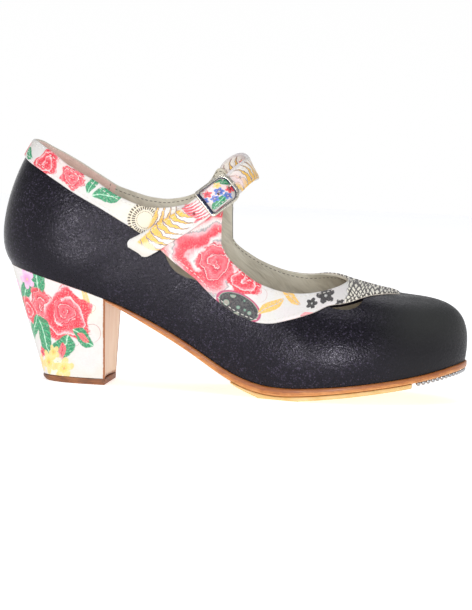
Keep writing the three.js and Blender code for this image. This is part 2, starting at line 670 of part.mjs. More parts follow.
// Nail heads side by side under the toe's edge. across: share of the diameter. drop: of the height.
const nailRows = [
  { across: 0, drop: 1 }, { across: 0.36, drop: 0.8 }, { across: 0.5, drop: 0.35 },
  { across: 0.5, drop: 0 }, { across: 0, drop: 0 },
];
const nailProfile = nailRows.map(
  (row) => new THREE.Vector2(row.across * nailDiameter, -row.drop * nailHeight));
function nailPlaces() {
  const start = stationAt(rubberFront);
  const line = stationsBetween(start, loopStations - start, 240)
    .map((station) => edgePoint(station, soleWelt - nailInset));
  const places = [];
  let walked = nailPitch / 2;
  for (let i = 1; i < line.length; i += 1) {
    const step = line[i].distanceTo(line[i - 1]);
    while (walked + step >= nailPitch) {
      const f = (nailPitch - walked) / step;
      places.push(line[i - 1].clone().lerp(line[i], f));
      walked -= nailPitch;
    }
    walked += step;
  }
  return places;
}
nailPlaces().filter((place) => place.x > rubberFront + nailDiameter).forEach((place, i) => {
  const nail = mergeVertices(new THREE.LatheGeometry(nailProfile, 8));
  const slope = Math.atan((soleBottom(place.x + 1) - soleBottom(place.x - 1)) / 2);
  const name = `toe_nail_${String(i + 1).padStart(2, '0')}`;
  const mesh = addPiece(name, nail, 0xc9cbcd, 0.3, 1);
  mesh.rotation.set(0, -slope, 0);
  mesh.rotateX(Math.PI / 2);
  mesh.position.set(place.x, place.y, soleBottom(place.x) - seatGap);
});

// The strap's middle line and the direction away from the foot along it
function strapPlace(row) {
  const station = row.side > 0 ? row.at : loopStations - row.at;
  const level = 2 * seatGap + bandThickness + barRise * row.lift;
  const point = offsetPoint(station, row.turn, level);
  const normal = lastNormal(station, row.turn);
  if (row.turn === 1) {
    normal.add(lastNormal(loopStations - station, 1)).normalize();
  }
  return { point, normal };
}
const strapPlaces = strapRows.map(strapPlace);
const strapPoints = strapPlaces.map((place) => place.point);
const strapLine = new THREE.CatmullRomCurve3(strapPoints, false, 'centripetal');
const strapSteps = 56;
const strapLength = strapLine.getLength();
function strapFrame(share) {
  const at = Math.min(Math.max(share, 0), 1);
  const center = strapLine.getPointAt(at);
  const along = strapLine.getTangentAt(at);
  const inParts = strapLine.getUtoTmapping(at) * (strapPlaces.length - 1);
  const i = Math.min(Math.floor(inParts), strapPlaces.length - 2);
  const out = strapPlaces[i].normal.clone().lerp(strapPlaces[i + 1].normal, inParts - i);
  out.addScaledVector(along, -out.dot(along)).normalize();
  return { center, along, out, across: new THREE.Vector3().crossVectors(out, along) };
}

// The strap as one band with softened edges and a slanted end
function strapBand() {
  const half = strapWidth / 2;
  const flat = half - strapEdge;
  const face = strapThickness - strapEdge;
  const section = [
    [-half, strapEdge], [-half, face], [-flat, strapThickness], [flat, strapThickness],
    [half, face], [half, strapEdge], [flat, 0], [-flat, 0],
  ];
  const points = [];
  const rings = [];
  for (let s = 0; s <= strapSteps; s += 1) {
    rings.push(section.map(([across, out]) => {
      const slant = strapSlant * (0.5 + across / strapWidth) / strapLength;
      const frame = strapFrame(s / strapSteps * (1 - slant));
      const point = frame.center.clone().addScaledVector(frame.across, across);
      point.addScaledVector(frame.out, out);
      return points.push(point) - 1;
    }));
  }
  const faces = wallFaces(rings);
  for (let k = 1; k < section.length - 1; k += 1) {
    faces.push([rings[0][0], rings[0][k], rings[0][k + 1]]);
    faces.push([rings[strapSteps][0], rings[strapSteps][k + 1], rings[strapSteps][k]]);
  }
  return toSolid(bodyFrom(points, faces));
}

// Share of the strap's length at the buckle's bar, where the holes are counted from
function strapShareNear(point) {
  const shares = stationsBetween(0, 1, 400);
  const away = shares.map((share) => strapLine.getPointAt(share).distanceTo(point));
  return shares[away.indexOf(Math.min(...away))];
}
const barShare = strapShareNear(strapPlaces[barRow].point);

// The buckle's own frame: its plane lies on the strap's face under both of its ends
const endReach = buckleLength / 2 - buckleEndBar;
const leftEnd = strapFrame(barShare + endReach / strapLength);
const rightEnd = strapFrame(barShare - endReach / strapLength);
const rimLevel = strapThickness + rimRise;
const leftSeat = leftEnd.center.clone().addScaledVector(leftEnd.out, rimLevel);
const rightSeat = rightEnd.center.clone().addScaledVector(rightEnd.out, rimLevel);
const buckleX = rightSeat.clone().sub(leftSeat).normalize();
const buckleZ = leftEnd.out.clone().add(rightEnd.out);
buckleZ.addScaledVector(buckleX, -buckleZ.dot(buckleX)).normalize();
const buckleY = new THREE.Vector3().crossVectors(buckleZ, buckleX);
const buckleGroup = new THREE.Group();
buckleGroup.applyMatrix4(new THREE.Matrix4().makeBasis(buckleX, buckleY, buckleZ)
  .setPosition(leftSeat.clone().lerp(rightSeat, 0.5)));
buckleGroup.updateMatrix();

// Rim with a straight end and a rounded end, and the bar that runs below the strap
function buckleOutline(halfLength, halfWidth, corner, Kind) {
  const outline = new Kind();
  const small = corner / 5;
  outline.moveTo(-halfLength + small, -halfWidth);
  outline.lineTo(halfLength - corner, -halfWidth);
  outline.absarc(halfLength - corner, -halfWidth + corner, corner, -quarterTurn, 0, false);
  outline.absarc(halfLength - corner, halfWidth - corner, corner, 0, quarterTurn, false);
  outline.lineTo(-halfLength + small, halfWidth);
  outline.lineTo(-halfLength, halfWidth - small);
  outline.lineTo(-halfLength, -halfWidth + small);
  outline.closePath();
  return outline;
}
const innerHalf = strapWidth / 2 + buckleSlack;
const outerHalf = innerHalf + buckleRim;
const rimShape = buckleOutline(buckleLength / 2, outerHalf, buckleCorner + buckleRim, THREE.Shape);
rimShape.holes.push(buckleOutline(buckleLength / 2 - buckleEndBar, innerHalf, buckleCorner, THREE.Path));
const rimOptions = { depth: buckleHeight, bevelEnabled: false, curveSegments: 6 };
const rim = new THREE.ExtrudeGeometry(rimShape, rimOptions);
const barSeat = strapFrame(barShare);
const toBuckle = buckleGroup.matrix.clone().invert();
const barCenter = barSeat.center.clone().addScaledVector(barSeat.out, -seatGap - barDiameter / 2);
barCenter.applyMatrix4(toBuckle);
const bar = new THREE.CylinderGeometry(barDiameter / 2, barDiameter / 2, 2 * outerHalf, 10);
bar.translate(barCenter.x, 0, barCenter.z);
let frame = toSolid(rim).add(toSolid(bar));
[-1, 1].forEach((side) => {
  const ear = new THREE.BoxGeometry(barDiameter, buckleRim, buckleHeight / 2 - barCenter.z);
  ear.translate(barCenter.x, side * (outerHalf - buckleRim / 2), (buckleHeight / 2 + barCenter.z) / 2);
  frame = frame.add(toSolid(ear));
});

// The prong comes up through the strap beside the rounded end and lies over the rim
const prongAt = buckleLength / 2 - buckleEndBar - prongWidth;
const prongTop = buckleHeight + seatGap + prongHeight;
const prongFoot = -strapThickness;
const prongArmLength = buckleLength / 2 - prongAt + prongWidth / 2;
const prongArm = new THREE.BoxGeometry(prongArmLength, prongWidth, prongHeight);
prongArm.translate(prongAt - prongWidth / 2 + prongArmLength / 2, 0, prongTop - prongHeight / 2);
const prongPin = new THREE.BoxGeometry(prongWidth, prongWidth, prongTop - prongFoot);
prongPin.translate(prongAt, 0, (prongTop + prongFoot) / 2);
const prong = toSolid(prongArm).add(toSolid(prongPin));
function addToBuckle(name, solid, color, roughness) {
  const mesh = addPiece(name, toGeometry(solid), color, roughness, 1);
  buckleGroup.add(mesh);
  return mesh;
}
addToBuckle('buckle_frame', frame, 0xd9d6cb, 0.25);
addToBuckle('buckle_prong', prong, 0xd9d6cb, 0.25);
buckleGroup.matrix.decompose(buckleGroup.position, buckleGroup.quaternion, buckleGroup.scale);
shoe.add(buckleGroup);

// Holes through the strap, at equal steps from the middle of the buckle, and one for the prong
function strapHoleAt(share, diameter) {
  const place = strapFrame(share);
  const hole = new THREE.CylinderGeometry(diameter / 2, diameter / 2, 3 * strapThickness, 10);
  hole.rotateX(quarterTurn);
  hole.applyMatrix4(new THREE.Matrix4().makeBasis(place.along, place.across, place.out)
    .setPosition(place.center.clone().addScaledVector(place.out, strapThickness / 2)));
  return toSolid(hole);
}
let strap = strapBand();
[-1, 0, 1].forEach((step) => {
  strap = strap.subtract(strapHoleAt(barShare + step * holePitch / strapLength, strapHole));
});
const slot = new THREE.BoxGeometry(prongWidth + 2 * seatGap, prongWidth + 2 * seatGap, 4 * strapThickness);
slot.translate(prongAt, 0, -strapThickness);
slot.applyMatrix4(buckleGroup.matrix);
strap = strap.subtract(toSolid(slot));
addPiece('strap', toGeometry(strap), 0xf2e8dc, 0.6, 0);

export default shoe;
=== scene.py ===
import math

import bpy
import numpy as np
from mathutils import Matrix, Vector


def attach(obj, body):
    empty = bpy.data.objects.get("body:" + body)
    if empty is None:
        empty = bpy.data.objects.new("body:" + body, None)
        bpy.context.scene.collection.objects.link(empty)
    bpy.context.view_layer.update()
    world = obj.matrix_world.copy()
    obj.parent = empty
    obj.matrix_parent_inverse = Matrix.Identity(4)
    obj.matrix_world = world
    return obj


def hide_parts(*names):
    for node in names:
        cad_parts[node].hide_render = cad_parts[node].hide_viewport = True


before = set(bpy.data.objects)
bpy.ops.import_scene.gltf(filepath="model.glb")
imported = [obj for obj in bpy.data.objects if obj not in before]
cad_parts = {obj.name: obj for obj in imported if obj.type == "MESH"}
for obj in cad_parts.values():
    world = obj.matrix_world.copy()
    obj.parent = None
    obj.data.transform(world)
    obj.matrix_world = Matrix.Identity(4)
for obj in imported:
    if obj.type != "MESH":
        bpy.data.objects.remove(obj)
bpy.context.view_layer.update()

# The part's own sizes, in millimetres, as in its source
LAST_LENGTH = 239.5
HEEL_REACH = 36.75
BALL_WIDTH = 82.0
CONE_HEIGHT = 95.0
HEEL_RISE = 54.0
TOE_SPRING = 15.0
SIDE_SWELL = 6.8
SWELL_RISE = 8.5
SWELL_SHARE = 0.25
UPPER_WALL = 2.0
BAND_THICKNESS = 1.2
SEAT_GAP = 0.3
INSOLE_THICKNESS = 2.5
SOLE_THICKNESS = 4.2
SOLE_WELT = 0.8
RUBBER_THICKNESS = 2.1
RUBBER_TIP = 0.75
RUBBER_TAIL = 14.0
FLAT_LENGTH = 22.0
NAIL_FIELD = 26.5
TREAD_LENGTH = 35.5
TREAD_WIDTH = 36.0
COVER_THICKNESS = 1.0
LIFT_THICKNESS = 3.0
BREAST_HOLLOW = 1.6
LIFT_BEVEL = 1.6
NAIL_DIAMETER = 2.5
NAIL_HEIGHT = 1.9
NAIL_PITCH = 2.95
NAIL_INSET = 1.7
STRAP_WIDTH = 12.0
STRAP_THICKNESS = 2.0
STRAP_SLANT = 5.0
BAR_RISE = 1.9
STRAP_HOLE = 1.6
HOLE_PITCH = 15.5
BUCKLE_LENGTH = 20.0
BUCKLE_SLACK = 0.45
BUCKLE_RIM = 1.5
BUCKLE_END_BAR = 2.2
BUCKLE_HEIGHT = 1.8
BUCKLE_CORNER = 3.8
RIM_RISE = 0.85
BAR_DIAMETER = 1.5
PRONG_WIDTH = 1.1
PRONG_HEIGHT = 0.9

BREAST_AT = TREAD_LENGTH / 2
TOE_POINT = LAST_LENGTH - HEEL_REACH
FLAT_MIDDLE = 0.612 * LAST_LENGTH - HEEL_REACH
FLAT_BACK = FLAT_MIDDLE - FLAT_LENGTH / 2
FLAT_FRONT = FLAT_MIDDLE + FLAT_LENGTH / 2
RUBBER_BACK = FLAT_BACK - RUBBER_TAIL
RUBBER_FRONT = TOE_POINT - NAIL_FIELD
STACK_HEIGHT = SOLE_THICKNESS + RUBBER_THICKNESS + SEAT_GAP

# Sections of the last, in shares of its sizes: along, outer, inner, ridge, side, rise, full, swell
LAST_ROWS = np.array([
    (0, 0, 0, 0.269, 0, 1, 2, 1),
    (0.021, 0.189, 0.189, 0.269, 0, 1.01, 2, 0.9),
    (0.094, 0.313, 0.307, 0.278, 0, 1.06, 2, 0.66),
    (0.194, 0.344, 0.329, 0.303, 0, 1.13, 2, 0.52),
    (0.311, 0.332, 0.287, 0.361, 0, 1.22, 2.05, 0.44),
    (0.428, 0.341, 0.262, 0.445, 0.012, 1.23, 2.1, 0.44),
    (0.545, 0.415, 0.317, 0.545, 0.03, 0.95, 2.15, 0.48),
    (0.653, 0.5, 0.402, 0.645, 0.049, 0.666, 2.25, 0.5),
    (0.754, 0.5, 0.451, 0.729, 0.055, 0.538, 2.4, 0.47),
    (0.854, 0.421, 0.427, 0.787, 0.049, 0.455, 2.7, 0.38),
    (0.933, 0.287, 0.335, 0.82, 0.043, 0.392, 3, 0.3),
    (0.983, 0.128, 0.207, 0.833, 0.043, 0.351, 3.3, 0.22),
    (1, -0.037, 0.037, 0.837, 0.043, 0.336, 3.4, 0.18),
])
HEEL_SHARES = np.array([1, 0.905, 0.805, 0.684, 0.522, 0.326, 0.112, 0.002, 0, 0, 0, 0, 0])
TOE_SHARES = np.array([0, 0, 0, 0, 0, 0, 0, 0, 0.022, 0.16, 0.36, 0.625, 1])
# Cutting lines of the upper and the band: foot, low, low turn, top, top turn, inner top, inner turn
CUT_ROWS = np.array([
    (0.00, 0.00, 0.402, 0.00, 0.476, 0.00, 0.476),
    (0.36, 0.35, 0.400, 0.40, 0.476, 0.35, 0.476),
    (0.72, 0.70, 0.394, 0.80, 0.474, 0.70, 0.473),
    (1.42, 1.40, 0.369, 1.58, 0.445, 1.48, 0.442),
    (2.08, 2.05, 0.333, 2.31, 0.394, 2.10, 0.407),
    (2.68, 2.65, 0.297, 2.95, 0.359, 2.70, 0.367),
    (3.17, 3.15, 0.271, 3.48, 0.324, 3.20, 0.337),
    (3.56, 3.54, 0.250, 3.86, 0.317, 3.65, 0.331),
    (3.95, 3.93, 0.233, 4.22, 0.332, 4.00, 0.340),
    (4.30, 4.29, 0.211, 4.60, 0.370, 4.40, 0.372),
    (4.60, 4.60, 0.195, 4.86, 0.418, 4.70, 0.422),
    (4.82, 4.80, 0.192, 5.03, 0.501, 4.92, 0.497),
    (5.00, 4.97, 0.191, 5.15, 0.561, 5.06, 0.577),
    (5.15, 5.12, 0.187, 5.27, 0.576, 5.20, 0.604),
    (5.31, 5.27, 0.185, 5.37, 0.545, 5.33, 0.576),
    (5.48, 5.43, 0.187, 5.34, 0.491, 5.36, 0.496),
    (5.66, 5.62, 0.193, 5.28, 0.434, 5.30, 0.442),
    (5.87, 5.85, 0.207, 5.32, 0.383, 5.30, 0.398),
    (6.11, 6.10, 0.226, 5.56, 0.352, 5.46, 0.373),
    (6.40, 6.40, 0.262, 5.95, 0.370, 5.81, 0.402),
    (6.70, 6.70, 0.313, 6.40, 0.417, 6.20, 0.454),
    (7.00, 7.00, 0.369, 6.85, 0.481, 6.60, 0.522),
    (7.30, 7.30, 0.429, 7.27, 0.558, 7.00, 0.613),
    (7.58, 7.60, 0.499, 7.60, 0.634, 7.35, 0.727),
    (7.82, 7.88, 0.533, 7.88, 0.730, 7.70, 0.850),
    (8.02, 8.10, 0.567, 8.05, 0.850, 7.98, 0.930),
    (8.22, 8.34, 0.618, 8.15, 1, 8.15, 1),
    (8.55, 8.62, 0.674, 8.60, 1, 8.60, 1),
    (8.90, 8.95, 0.727, 9.00, 1, 9.00, 1),
    (9.30, 9.35, 0.790, 9.40, 1, 9.40, 1),
    (9.75, 9.80, 0.850, 9.85, 1, 9.85, 1),
    (10.25, 10.30, 0.895, 10.35, 1, 10.35, 1),
    (10.80, 10.85, 0.925, 10.90, 1, 10.90, 1),
    (11.40, 11.43, 0.942, 11.45, 1, 11.45, 1),
    (12.00, 12.00, 0.948, 12.00, 1, 12.00, 1),
])
# Row where both sides meet at the throat
THROAT_ROW = 26
# Edges of the upper's two half-moon cut-outs below the band: station, turn
BACK_ARC = np.array([(4.37, 0.206), (4.43, 0.191), (4.52, 0.178), (4.63, 0.173), (4.76, 0.175), (4.88, 0.183),
                     (4.99, 0.190)])
FRONT_ARC = np.array([(7.57, 0.492), (7.68, 0.486), (7.84, 0.487), (8.00, 0.494), (8.16, 0.519),
                      (8.28, 0.556), (8.37, 0.610), (8.40, 0.633)])
# Strap's middle line: side, station, turn, lift
STRAP_ROWS = [
    (-1, 5.12, 0.455, 0), (-1, 5.18, 0.530, 0), (-1, 5.26, 0.620, 0.1), (-1, 5.42, 0.740, 0.1),
    (-1, 5.56, 0.870, 0.1), (1, 5.65, 1.000, 0.1), (1, 5.63, 0.870, 0.1), (1, 5.545, 0.725, 0.1),
    (1, 5.42, 0.605, 0.3), (1, 5.235, 0.507, 1.00), (1, 5.02, 0.420, 0.3), (1, 4.69, 0.329, 0.1),
    (1, 4.33, 0.261, 0.1), (1, 4.08, 0.216, 0.25), (1, 3.78, 0.170, 0.4),
]
# Row over the buckle's bar
BAR_ROW = 9
# Share of the sole's thickness at equal steps from the breast to the toe
SOLE_CURVE = np.array([0.22, 0.62, 0.86, 0.95, 1, 1, 0.93, 0.82, 0.76, 0.75, 0.78, 0.84])


# Slopes of smooth curves through equal steps, found in rounds
SLOPE_ROUNDS = 60


def loop_slopes(values):
    slopes = np.zeros(len(values))
    reach = 3 * (np.roll(values, -1) - np.roll(values, 1))
    for _ in range(SLOPE_ROUNDS):
        slopes = (reach - np.roll(slopes, -1) - np.roll(slopes, 1)) / 4
    return slopes


def open_slopes(values):
    joined = np.concatenate([2 * values[0] - values[:0:-1], values, 2 * values[-1] - values[-2::-1]])
    slopes = np.gradient(joined)
    slopes[0] = (joined[1] - joined[0]) / 2
    slopes[-1] = (joined[-1] - joined[-2]) / 2
    for _ in range(SLOPE_ROUNDS):
        inner = (3 * (joined[2:] - joined[:-2]) - slopes[:-2] - slopes[2:]) / 4
        slopes = np.concatenate([slopes[:1], inner, slopes[-1:]])
    start = len(values) - 1
    return slopes[start:start + len(values)]


def hermite(v0, v1, m0, m1, f):
    rest = 1 - f
    return rest * rest * (v0 * (1 + 2 * f) + m0 * f) + f * f * (v1 * (3 - 2 * f) - m1 * rest)


def on_loop(curve, at):
    values, slopes = curve
    count = len(values)
    station = np.mod(at, count)
    i = np.floor(station).astype(int) % count
    j = (i + 1) % count
    return hermite(values[i], values[j], slopes[i], slopes[j], station - np.floor(station))


def on_open(curve, at):
    values, slopes = curve
    i = np.clip(np.floor(at).astype(int), 0, len(values) - 2)
    return hermite(values[i], values[i + 1], slopes[i], slopes[i + 1], at - i)


def loop_column(outer, inner):
    values = np.concatenate([outer, inner[1:-1][::-1]])
    return values, loop_slopes(values)


FOOT_SIDE = loop_column(-LAST_ROWS[:, 1], LAST_ROWS[:, 2])
FOOT_ALONG, RIDGE_ALONG, RIDGE_SIDE, RIDGE_RISE, FULLNESS, SWELLING = [
    loop_column(LAST_ROWS[:, c], LAST_ROWS[:, c]) for c in (0, 3, 4, 5, 6, 7)]
HEEL_PROFILE = (HEEL_SHARES, open_slopes(HEEL_SHARES))
TOE_PROFILE = (TOE_SHARES, open_slopes(TOE_SHARES))
SOLE_PROFILE = (SOLE_CURVE, open_slopes(SOLE_CURVE))
TOE_STATION = 12
LOOP = 24


def seat_height(x):
    at = (np.asarray(x, float) + HEEL_REACH) / LAST_LENGTH * TOE_STATION
    return STACK_HEIGHT + HEEL_RISE * on_open(HEEL_PROFILE, at) + TOE_SPRING * on_open(TOE_PROFILE, at)


def unit(vectors):
    return vectors / np.linalg.norm(vectors, axis=-1, keepdims=True)


def paired(station, turn):
    return np.broadcast_arrays(np.asarray(station, float), np.asarray(turn, float))


# The last's outline in plan
def foot_line(station):
    along = on_loop(FOOT_ALONG, station) * LAST_LENGTH - HEEL_REACH
    return np.stack([along, on_loop(FOOT_SIDE, station) * BALL_WIDTH], axis=-1)


# Points of the last's surface and points a distance off it, for arrays of stations and turns
def last_point(station, turn):
    station, turn = paired(station, turn)
    foot_x, foot_y = np.moveaxis(foot_line(station), -1, 0)
    ridge_x = on_loop(RIDGE_ALONG, station) * LAST_LENGTH - HEEL_REACH
    ridge_y = on_loop(RIDGE_SIDE, station) * BALL_WIDTH
    power = on_loop(FULLNESS, station)
    cosine = np.cos(turn * math.pi / 2)
    sine = np.sin(turn * math.pi / 2)
    radius = (np.abs(cosine) ** power + np.abs(sine) ** power) ** (-1 / power)
    out = radius * cosine
    height = radius * sine * on_loop(RIDGE_RISE, station) * CONE_HEIGHT
    dx = foot_x - ridge_x
    dy = foot_y - ridge_y
    span = np.hypot(dx, dy)
    swell = on_loop(SWELLING, station) * SIDE_SWELL * (1 - np.exp(-height / SWELL_RISE))
    share = (out * span + swell * np.minimum(1, out / SWELL_SHARE)) / span
    return np.stack([ridge_x + dx * share, ridge_y + dy * share, seat_height(foot_x) + height], axis=-1)


def last_normal(station, turn):
    step = 0.004
    station, turn = paired(station, turn)
    high = np.minimum(turn, 1 - step)
    along = last_point(station + step, high) - last_point(station - step, high)
    up = last_point(station, high + step) - last_point(station, np.maximum(high - step, 0))
    return unit(np.cross(along, up))


# From this turn on, the normal leans to the mean of both sides
RIDGE_BLEND = 0.97


def offset_point(station, turn, offset):
    station, turn = paired(station, turn)
    point = last_point(station, turn)
    normal = last_normal(station, turn)
    mirrored = unit(normal + last_normal(LOOP - station, turn))
    near = np.clip((turn - RIDGE_BLEND) / (1 - RIDGE_BLEND), 0, 1)[..., None]
    normal = unit(normal * (1 - near) + mirrored * near)
    level = np.clip((point[..., 2] - last_point(station, 0 * turn)[..., 2]) / (2 * UPPER_WALL), 0, 1)
    normal = normal * np.stack([np.ones_like(level), np.ones_like(level), level], axis=-1)
    return point + unit(normal) * np.asarray(offset)[..., None]


# A smooth line through uneven steps that doesn't overshoot its points
def even_line(xs, ys, at):
    xs = np.asarray(xs, float)
    ys = np.asarray(ys, float)
    h = np.diff(xs)
    slope = np.diff(ys) / h
    same = slope[1:] * slope[:-1] > 0
    w1 = (2 * h[1:] + h[:-1])[same]
    w2 = (h[1:] + 2 * h[:-1])[same]
    mean = np.zeros(len(same))
    mean[same] = (w1 + w2) / (w1 / slope[:-1][same] + w2 / slope[1:][same])
    m = np.concatenate([slope[:1], mean, slope[-1:]])
    i = np.clip(np.searchsorted(xs, at, side="right") - 1, 0, len(xs) - 2)
    f = (at - xs[i]) / h[i]
    return hermite(ys[i], ys[i + 1], m[i] * h[i], m[i + 1] * h[i], f)


# Meshes
def build(name, points, faces, materials=(), kinds=None, uv=None, smooth=True):
    mesh = bpy.data.meshes.new(name)
    mesh.from_pydata((np.asarray(points) * 0.001).tolist(), [], [list(map(int, f)) for f in faces])
    for material in materials:
        mesh.materials.append(material)
    if kinds is not None:
        mesh.polygons.foreach_set("material_index", np.asarray(kinds, dtype=np.int32))
    mesh.polygons.foreach_set("use_smooth", np.full(len(mesh.polygons), smooth))
    if uv is not None:
        layer = mesh.uv_layers.new(name="print")
        index = np.zeros(len(mesh.loops), dtype=np.int32)
        mesh.loops.foreach_get("vertex_index", index)
        layer.data.foreach_set("uv", np.asarray(uv)[index].astype(np.float32).ravel())
    mesh.validate()
    mesh.update()
    if smooth:
        mesh.set_sharp_from_angle(angle=math.radians(48))
    piece = bpy.data.objects.new(name, mesh)
    bpy.context.scene.collection.objects.link(piece)
    return piece


def grid_quads(ids, wrap=False):
    a = ids if not wrap else np.concatenate([ids, ids[:1]])
    return np.stack([a[:-1, :-1], a[1:, :-1], a[1:, 1:], a[:-1, 1:]], axis=-1).reshape(-1, 4)


# A closed skin over rings of points, with both ends capped
def skin(rings, way=1):
    n, m = rings.shape[:2]
    ids = np.arange(n * m).reshape(n, m)
    walls = grid_quads(ids.T, wrap=True)[:, ::way].tolist()
    return rings.reshape(-1, 3), walls + [list(ids[0]), list(ids[-1][::-1])]


# Faces without the corners that fall together
def clean_faces(faces):
    kept = []
    for face in faces:
        ring = []
        for v in face:
            if v not in ring:
                ring.append(v)
        if len(ring) > 2:
            kept.append(ring)
    return kept


# Columns round the shoe, from the heel seam along the outer side to the toe and back
FINE = 8
rows = np.linspace(0, len(CUT_ROWS) - 1, (len(CUT_ROWS) - 1) * FINE + 1)
table = np.stack([even_line(np.arange(len(CUT_ROWS)), CUT_ROWS[:, c], rows) for c in range(7)], axis=1)
outer_cols = np.arange(len(rows))
inner_cols = outer_cols[-2:0:-1]
column_row = np.concatenate([outer_cols, inner_cols])
column_inner = np.concatenate([np.zeros(len(outer_cols), bool), np.ones(len(inner_cols), bool)])
COLUMNS = len(column_row)
col = table[column_row]
foot, low, low_turn = col[:, 0], col[:, 1], col[:, 2]
top = np.where(column_inner, col[:, 5], col[:, 3])
top_turn = np.minimum(np.where(column_inner, col[:, 6], col[:, 4]), 1)
past_throat = column_row >= THROAT_ROW * FINE
SKIVE = 1.1
SKIVE_START = 0.6


def turned(station, columns=slice(None)):
    return np.where(column_inner[columns, None], LOOP - station, station)


# Stations and turns of the band, at shares of the way from its lower edge to the topline
def on_band(share, columns=slice(None)):
    station = low[columns, None] + (top - low)[columns, None] * share
    return turned(station, columns), low_turn[columns, None] + (top_turn - low_turn)[columns, None] * share


# The wall is thinned towards the topline
def skive(share):
    return SKIVE * np.clip((share - SKIVE_START) / (1 - SKIVE_START), 0, 1) ** 2


def arc_turn(arc, stations, edges):
    inside = (stations > arc[0, 0]) & (stations < arc[-1, 0])
    at = np.clip(stations, arc[0, 0], arc[-1, 0])
    return np.where(inside, np.minimum(even_line(arc[:, 0], arc[:, 1], at), edges), edges)


cut_turn = np.minimum(arc_turn(BACK_ARC, low, low_turn), arc_turn(FRONT_ARC, low, low_turn))
holed = low_turn - cut_turn > 1e-4


# Soft troughs and ridges of the worn leather, in millimetres and degrees:
# side, x, z, length, width, turn, height
CREASES = [
    (-1, 4, 76, 30, 7, 22, -0.4),
    (-1, 22, 62, 24, 6, 34, -0.3),
    (-1, -18, 66, 14, 8, 80, 0.3),
    (-1, 64, 44, 26, 6, 40, -0.3),
    (-1, 106, 33, 16, 4.5, -38, -0.25),
    (-1, 118, 31, 15, 4.5, -46, 0.15),
    (-1, 130, 31, 14, 4.5, -52, -0.2),
    (-1, 160, 27, 13, 6, 84, 0.25),
    (1, 6, 72, 28, 7, 24, -0.4),
    (1, 60, 42, 26, 6, 38, -0.3),
    (1, 112, 33, 16, 4.5, -40, -0.25),
    (1, 127, 31, 14, 4.5, -50, -0.2),
]


# Creases fade out within this distance from the shoe's middle plane
CREASE_FADE = 12


def creased(points):
    moved = points.copy()
    for side, x, z, length, width, turn, height in CREASES:
        cosine, sine = math.cos(math.radians(turn)), math.sin(math.radians(turn))
        dx, dz = points[..., 0] - x, points[..., 2] - z
        along = (dx * cosine + dz * sine) / length
        across = (dz * cosine - dx * sine) / width
        bump = height * np.exp(-along ** 2 - across ** 2)
        moved[..., 1] += side * bump * np.clip(side * points[..., 1] / CREASE_FADE, 0, 1)
    return moved


# Black leather shell with its lining
def shell():
    low_steps, band_steps = 34, 12
    f = np.linspace(0, 1, low_steps + 1)
    g = np.linspace(0, 1, band_steps + 1)
    band_stations, band_turns = on_band(g)
    stations = np.concatenate([turned(foot[:, None] + (low - foot)[:, None] * f), band_stations], axis=1)
    turns = np.concatenate([cut_turn[:, None] * f, band_turns], axis=1)
    thin = np.where(past_throat[:, None], 0, np.concatenate([np.zeros(low_steps + 1), skive(g)]))
    over = creased(offset_point(stations, turns, np.zeros_like(turns)))
    under = creased(offset_point(stations, turns, -UPPER_WALL + thin))
    steps = low_steps + band_steps + 2
    count = COLUMNS * steps
    ids = np.arange(count).reshape(COLUMNS, steps)
    # both sides share the ridge in front of the throat, and the cut's two edges where there is no hole
    own = ids.copy()
    for i in range(COLUMNS):
        if column_inner[i] and past_throat[i]:
            own[i, -1] = ids[column_row[i], -1]
        if not holed[i]:
            own[i, low_steps + 1] = own[i, low_steps]
    faces = []
    kinds = []
    for layer, shift in ((0, 0), (1, count)):
        quads = grid_quads(own + shift, wrap=True)
        where = np.tile(np.arange(steps - 1), COLUMNS)
        quads = quads[where != low_steps]
        if layer:
            quads = quads[:, ::-1]
        part = clean_faces(quads.tolist())
        faces += part
        kinds += [layer] * len(part)
    for i in range(COLUMNS):
        j = (i + 1) % COLUMNS
        rims = [(0, 0, 1)]
        if not (past_throat[i] and past_throat[j]):
            rims.append((steps - 1, 1, -1))
        if holed[i] or holed[j]:
            rims += [(low_steps, 0, -1), (low_steps + 1, 0, 1)]
        for k, kind, way in rims:
            a, b = own[i, k], own[j, k]
            if a != b:
                faces.append([a, a + count, b + count, b][::way])
                kinds.append(kind)
    return np.concatenate([over.reshape(-1, 3), under.reshape(-1, 3)]), faces, kinds


# Place of a point of the last in the print's own flat coordinates, in millimetres
PRINT_BEND = -10.0
PRINT_RADIUS = 25.0
PRINT_BACK = PRINT_BEND - PRINT_RADIUS * math.pi / 2
# On the inner side the band's print is shifted, and the shift grows over this length
FAR_SHIFT = (17, 11)
FAR_FADE = 40


def wrapped(x, y):
    turn = np.arctan2(np.maximum(PRINT_BEND - x, 0), np.maximum(np.abs(y), 1e-6))
    return np.where(x < PRINT_BEND, PRINT_BEND - PRINT_RADIUS * turn, x)


def print_place(points):
    x, y, z = points[..., 0], points[..., 1], points[..., 2]
    u = wrapped(x, y)
    away = np.clip((u - PRINT_BACK) / FAR_FADE, 0, 1) * (y > 0)
    away = away * away * (3 - 2 * away)
    return np.stack([u + FAR_SHIFT[0] * away, z + FAR_SHIFT[1] * away], axis=-1)


# The heel's cover is one piece, so its print runs on round the back
def heel_print_place(points):
    x, y, z = points[..., 0], points[..., 1], points[..., 2]
    u = wrapped(x, y)
    return np.stack([np.where(y > 0, 2 * PRINT_BACK - u, u), z], axis=-1)


# Printed band round the topline, with softened edges
EDGE_STEPS = np.array([0, 0.12, 0.32, 0.6, 1.0])
BAND_BASE = 0.02
BAND_FACE = BAND_BASE + BAND_THICKNESS


def band_at(share, offset):
    stations, turns = on_band(share)
    return offset_point(stations, turns, np.broadcast_to(offset, stations.shape))


band_length = np.linalg.norm(np.diff(band_at(np.linspace(0, 1, 17), BAND_FACE), axis=1), axis=2).sum(axis=1)


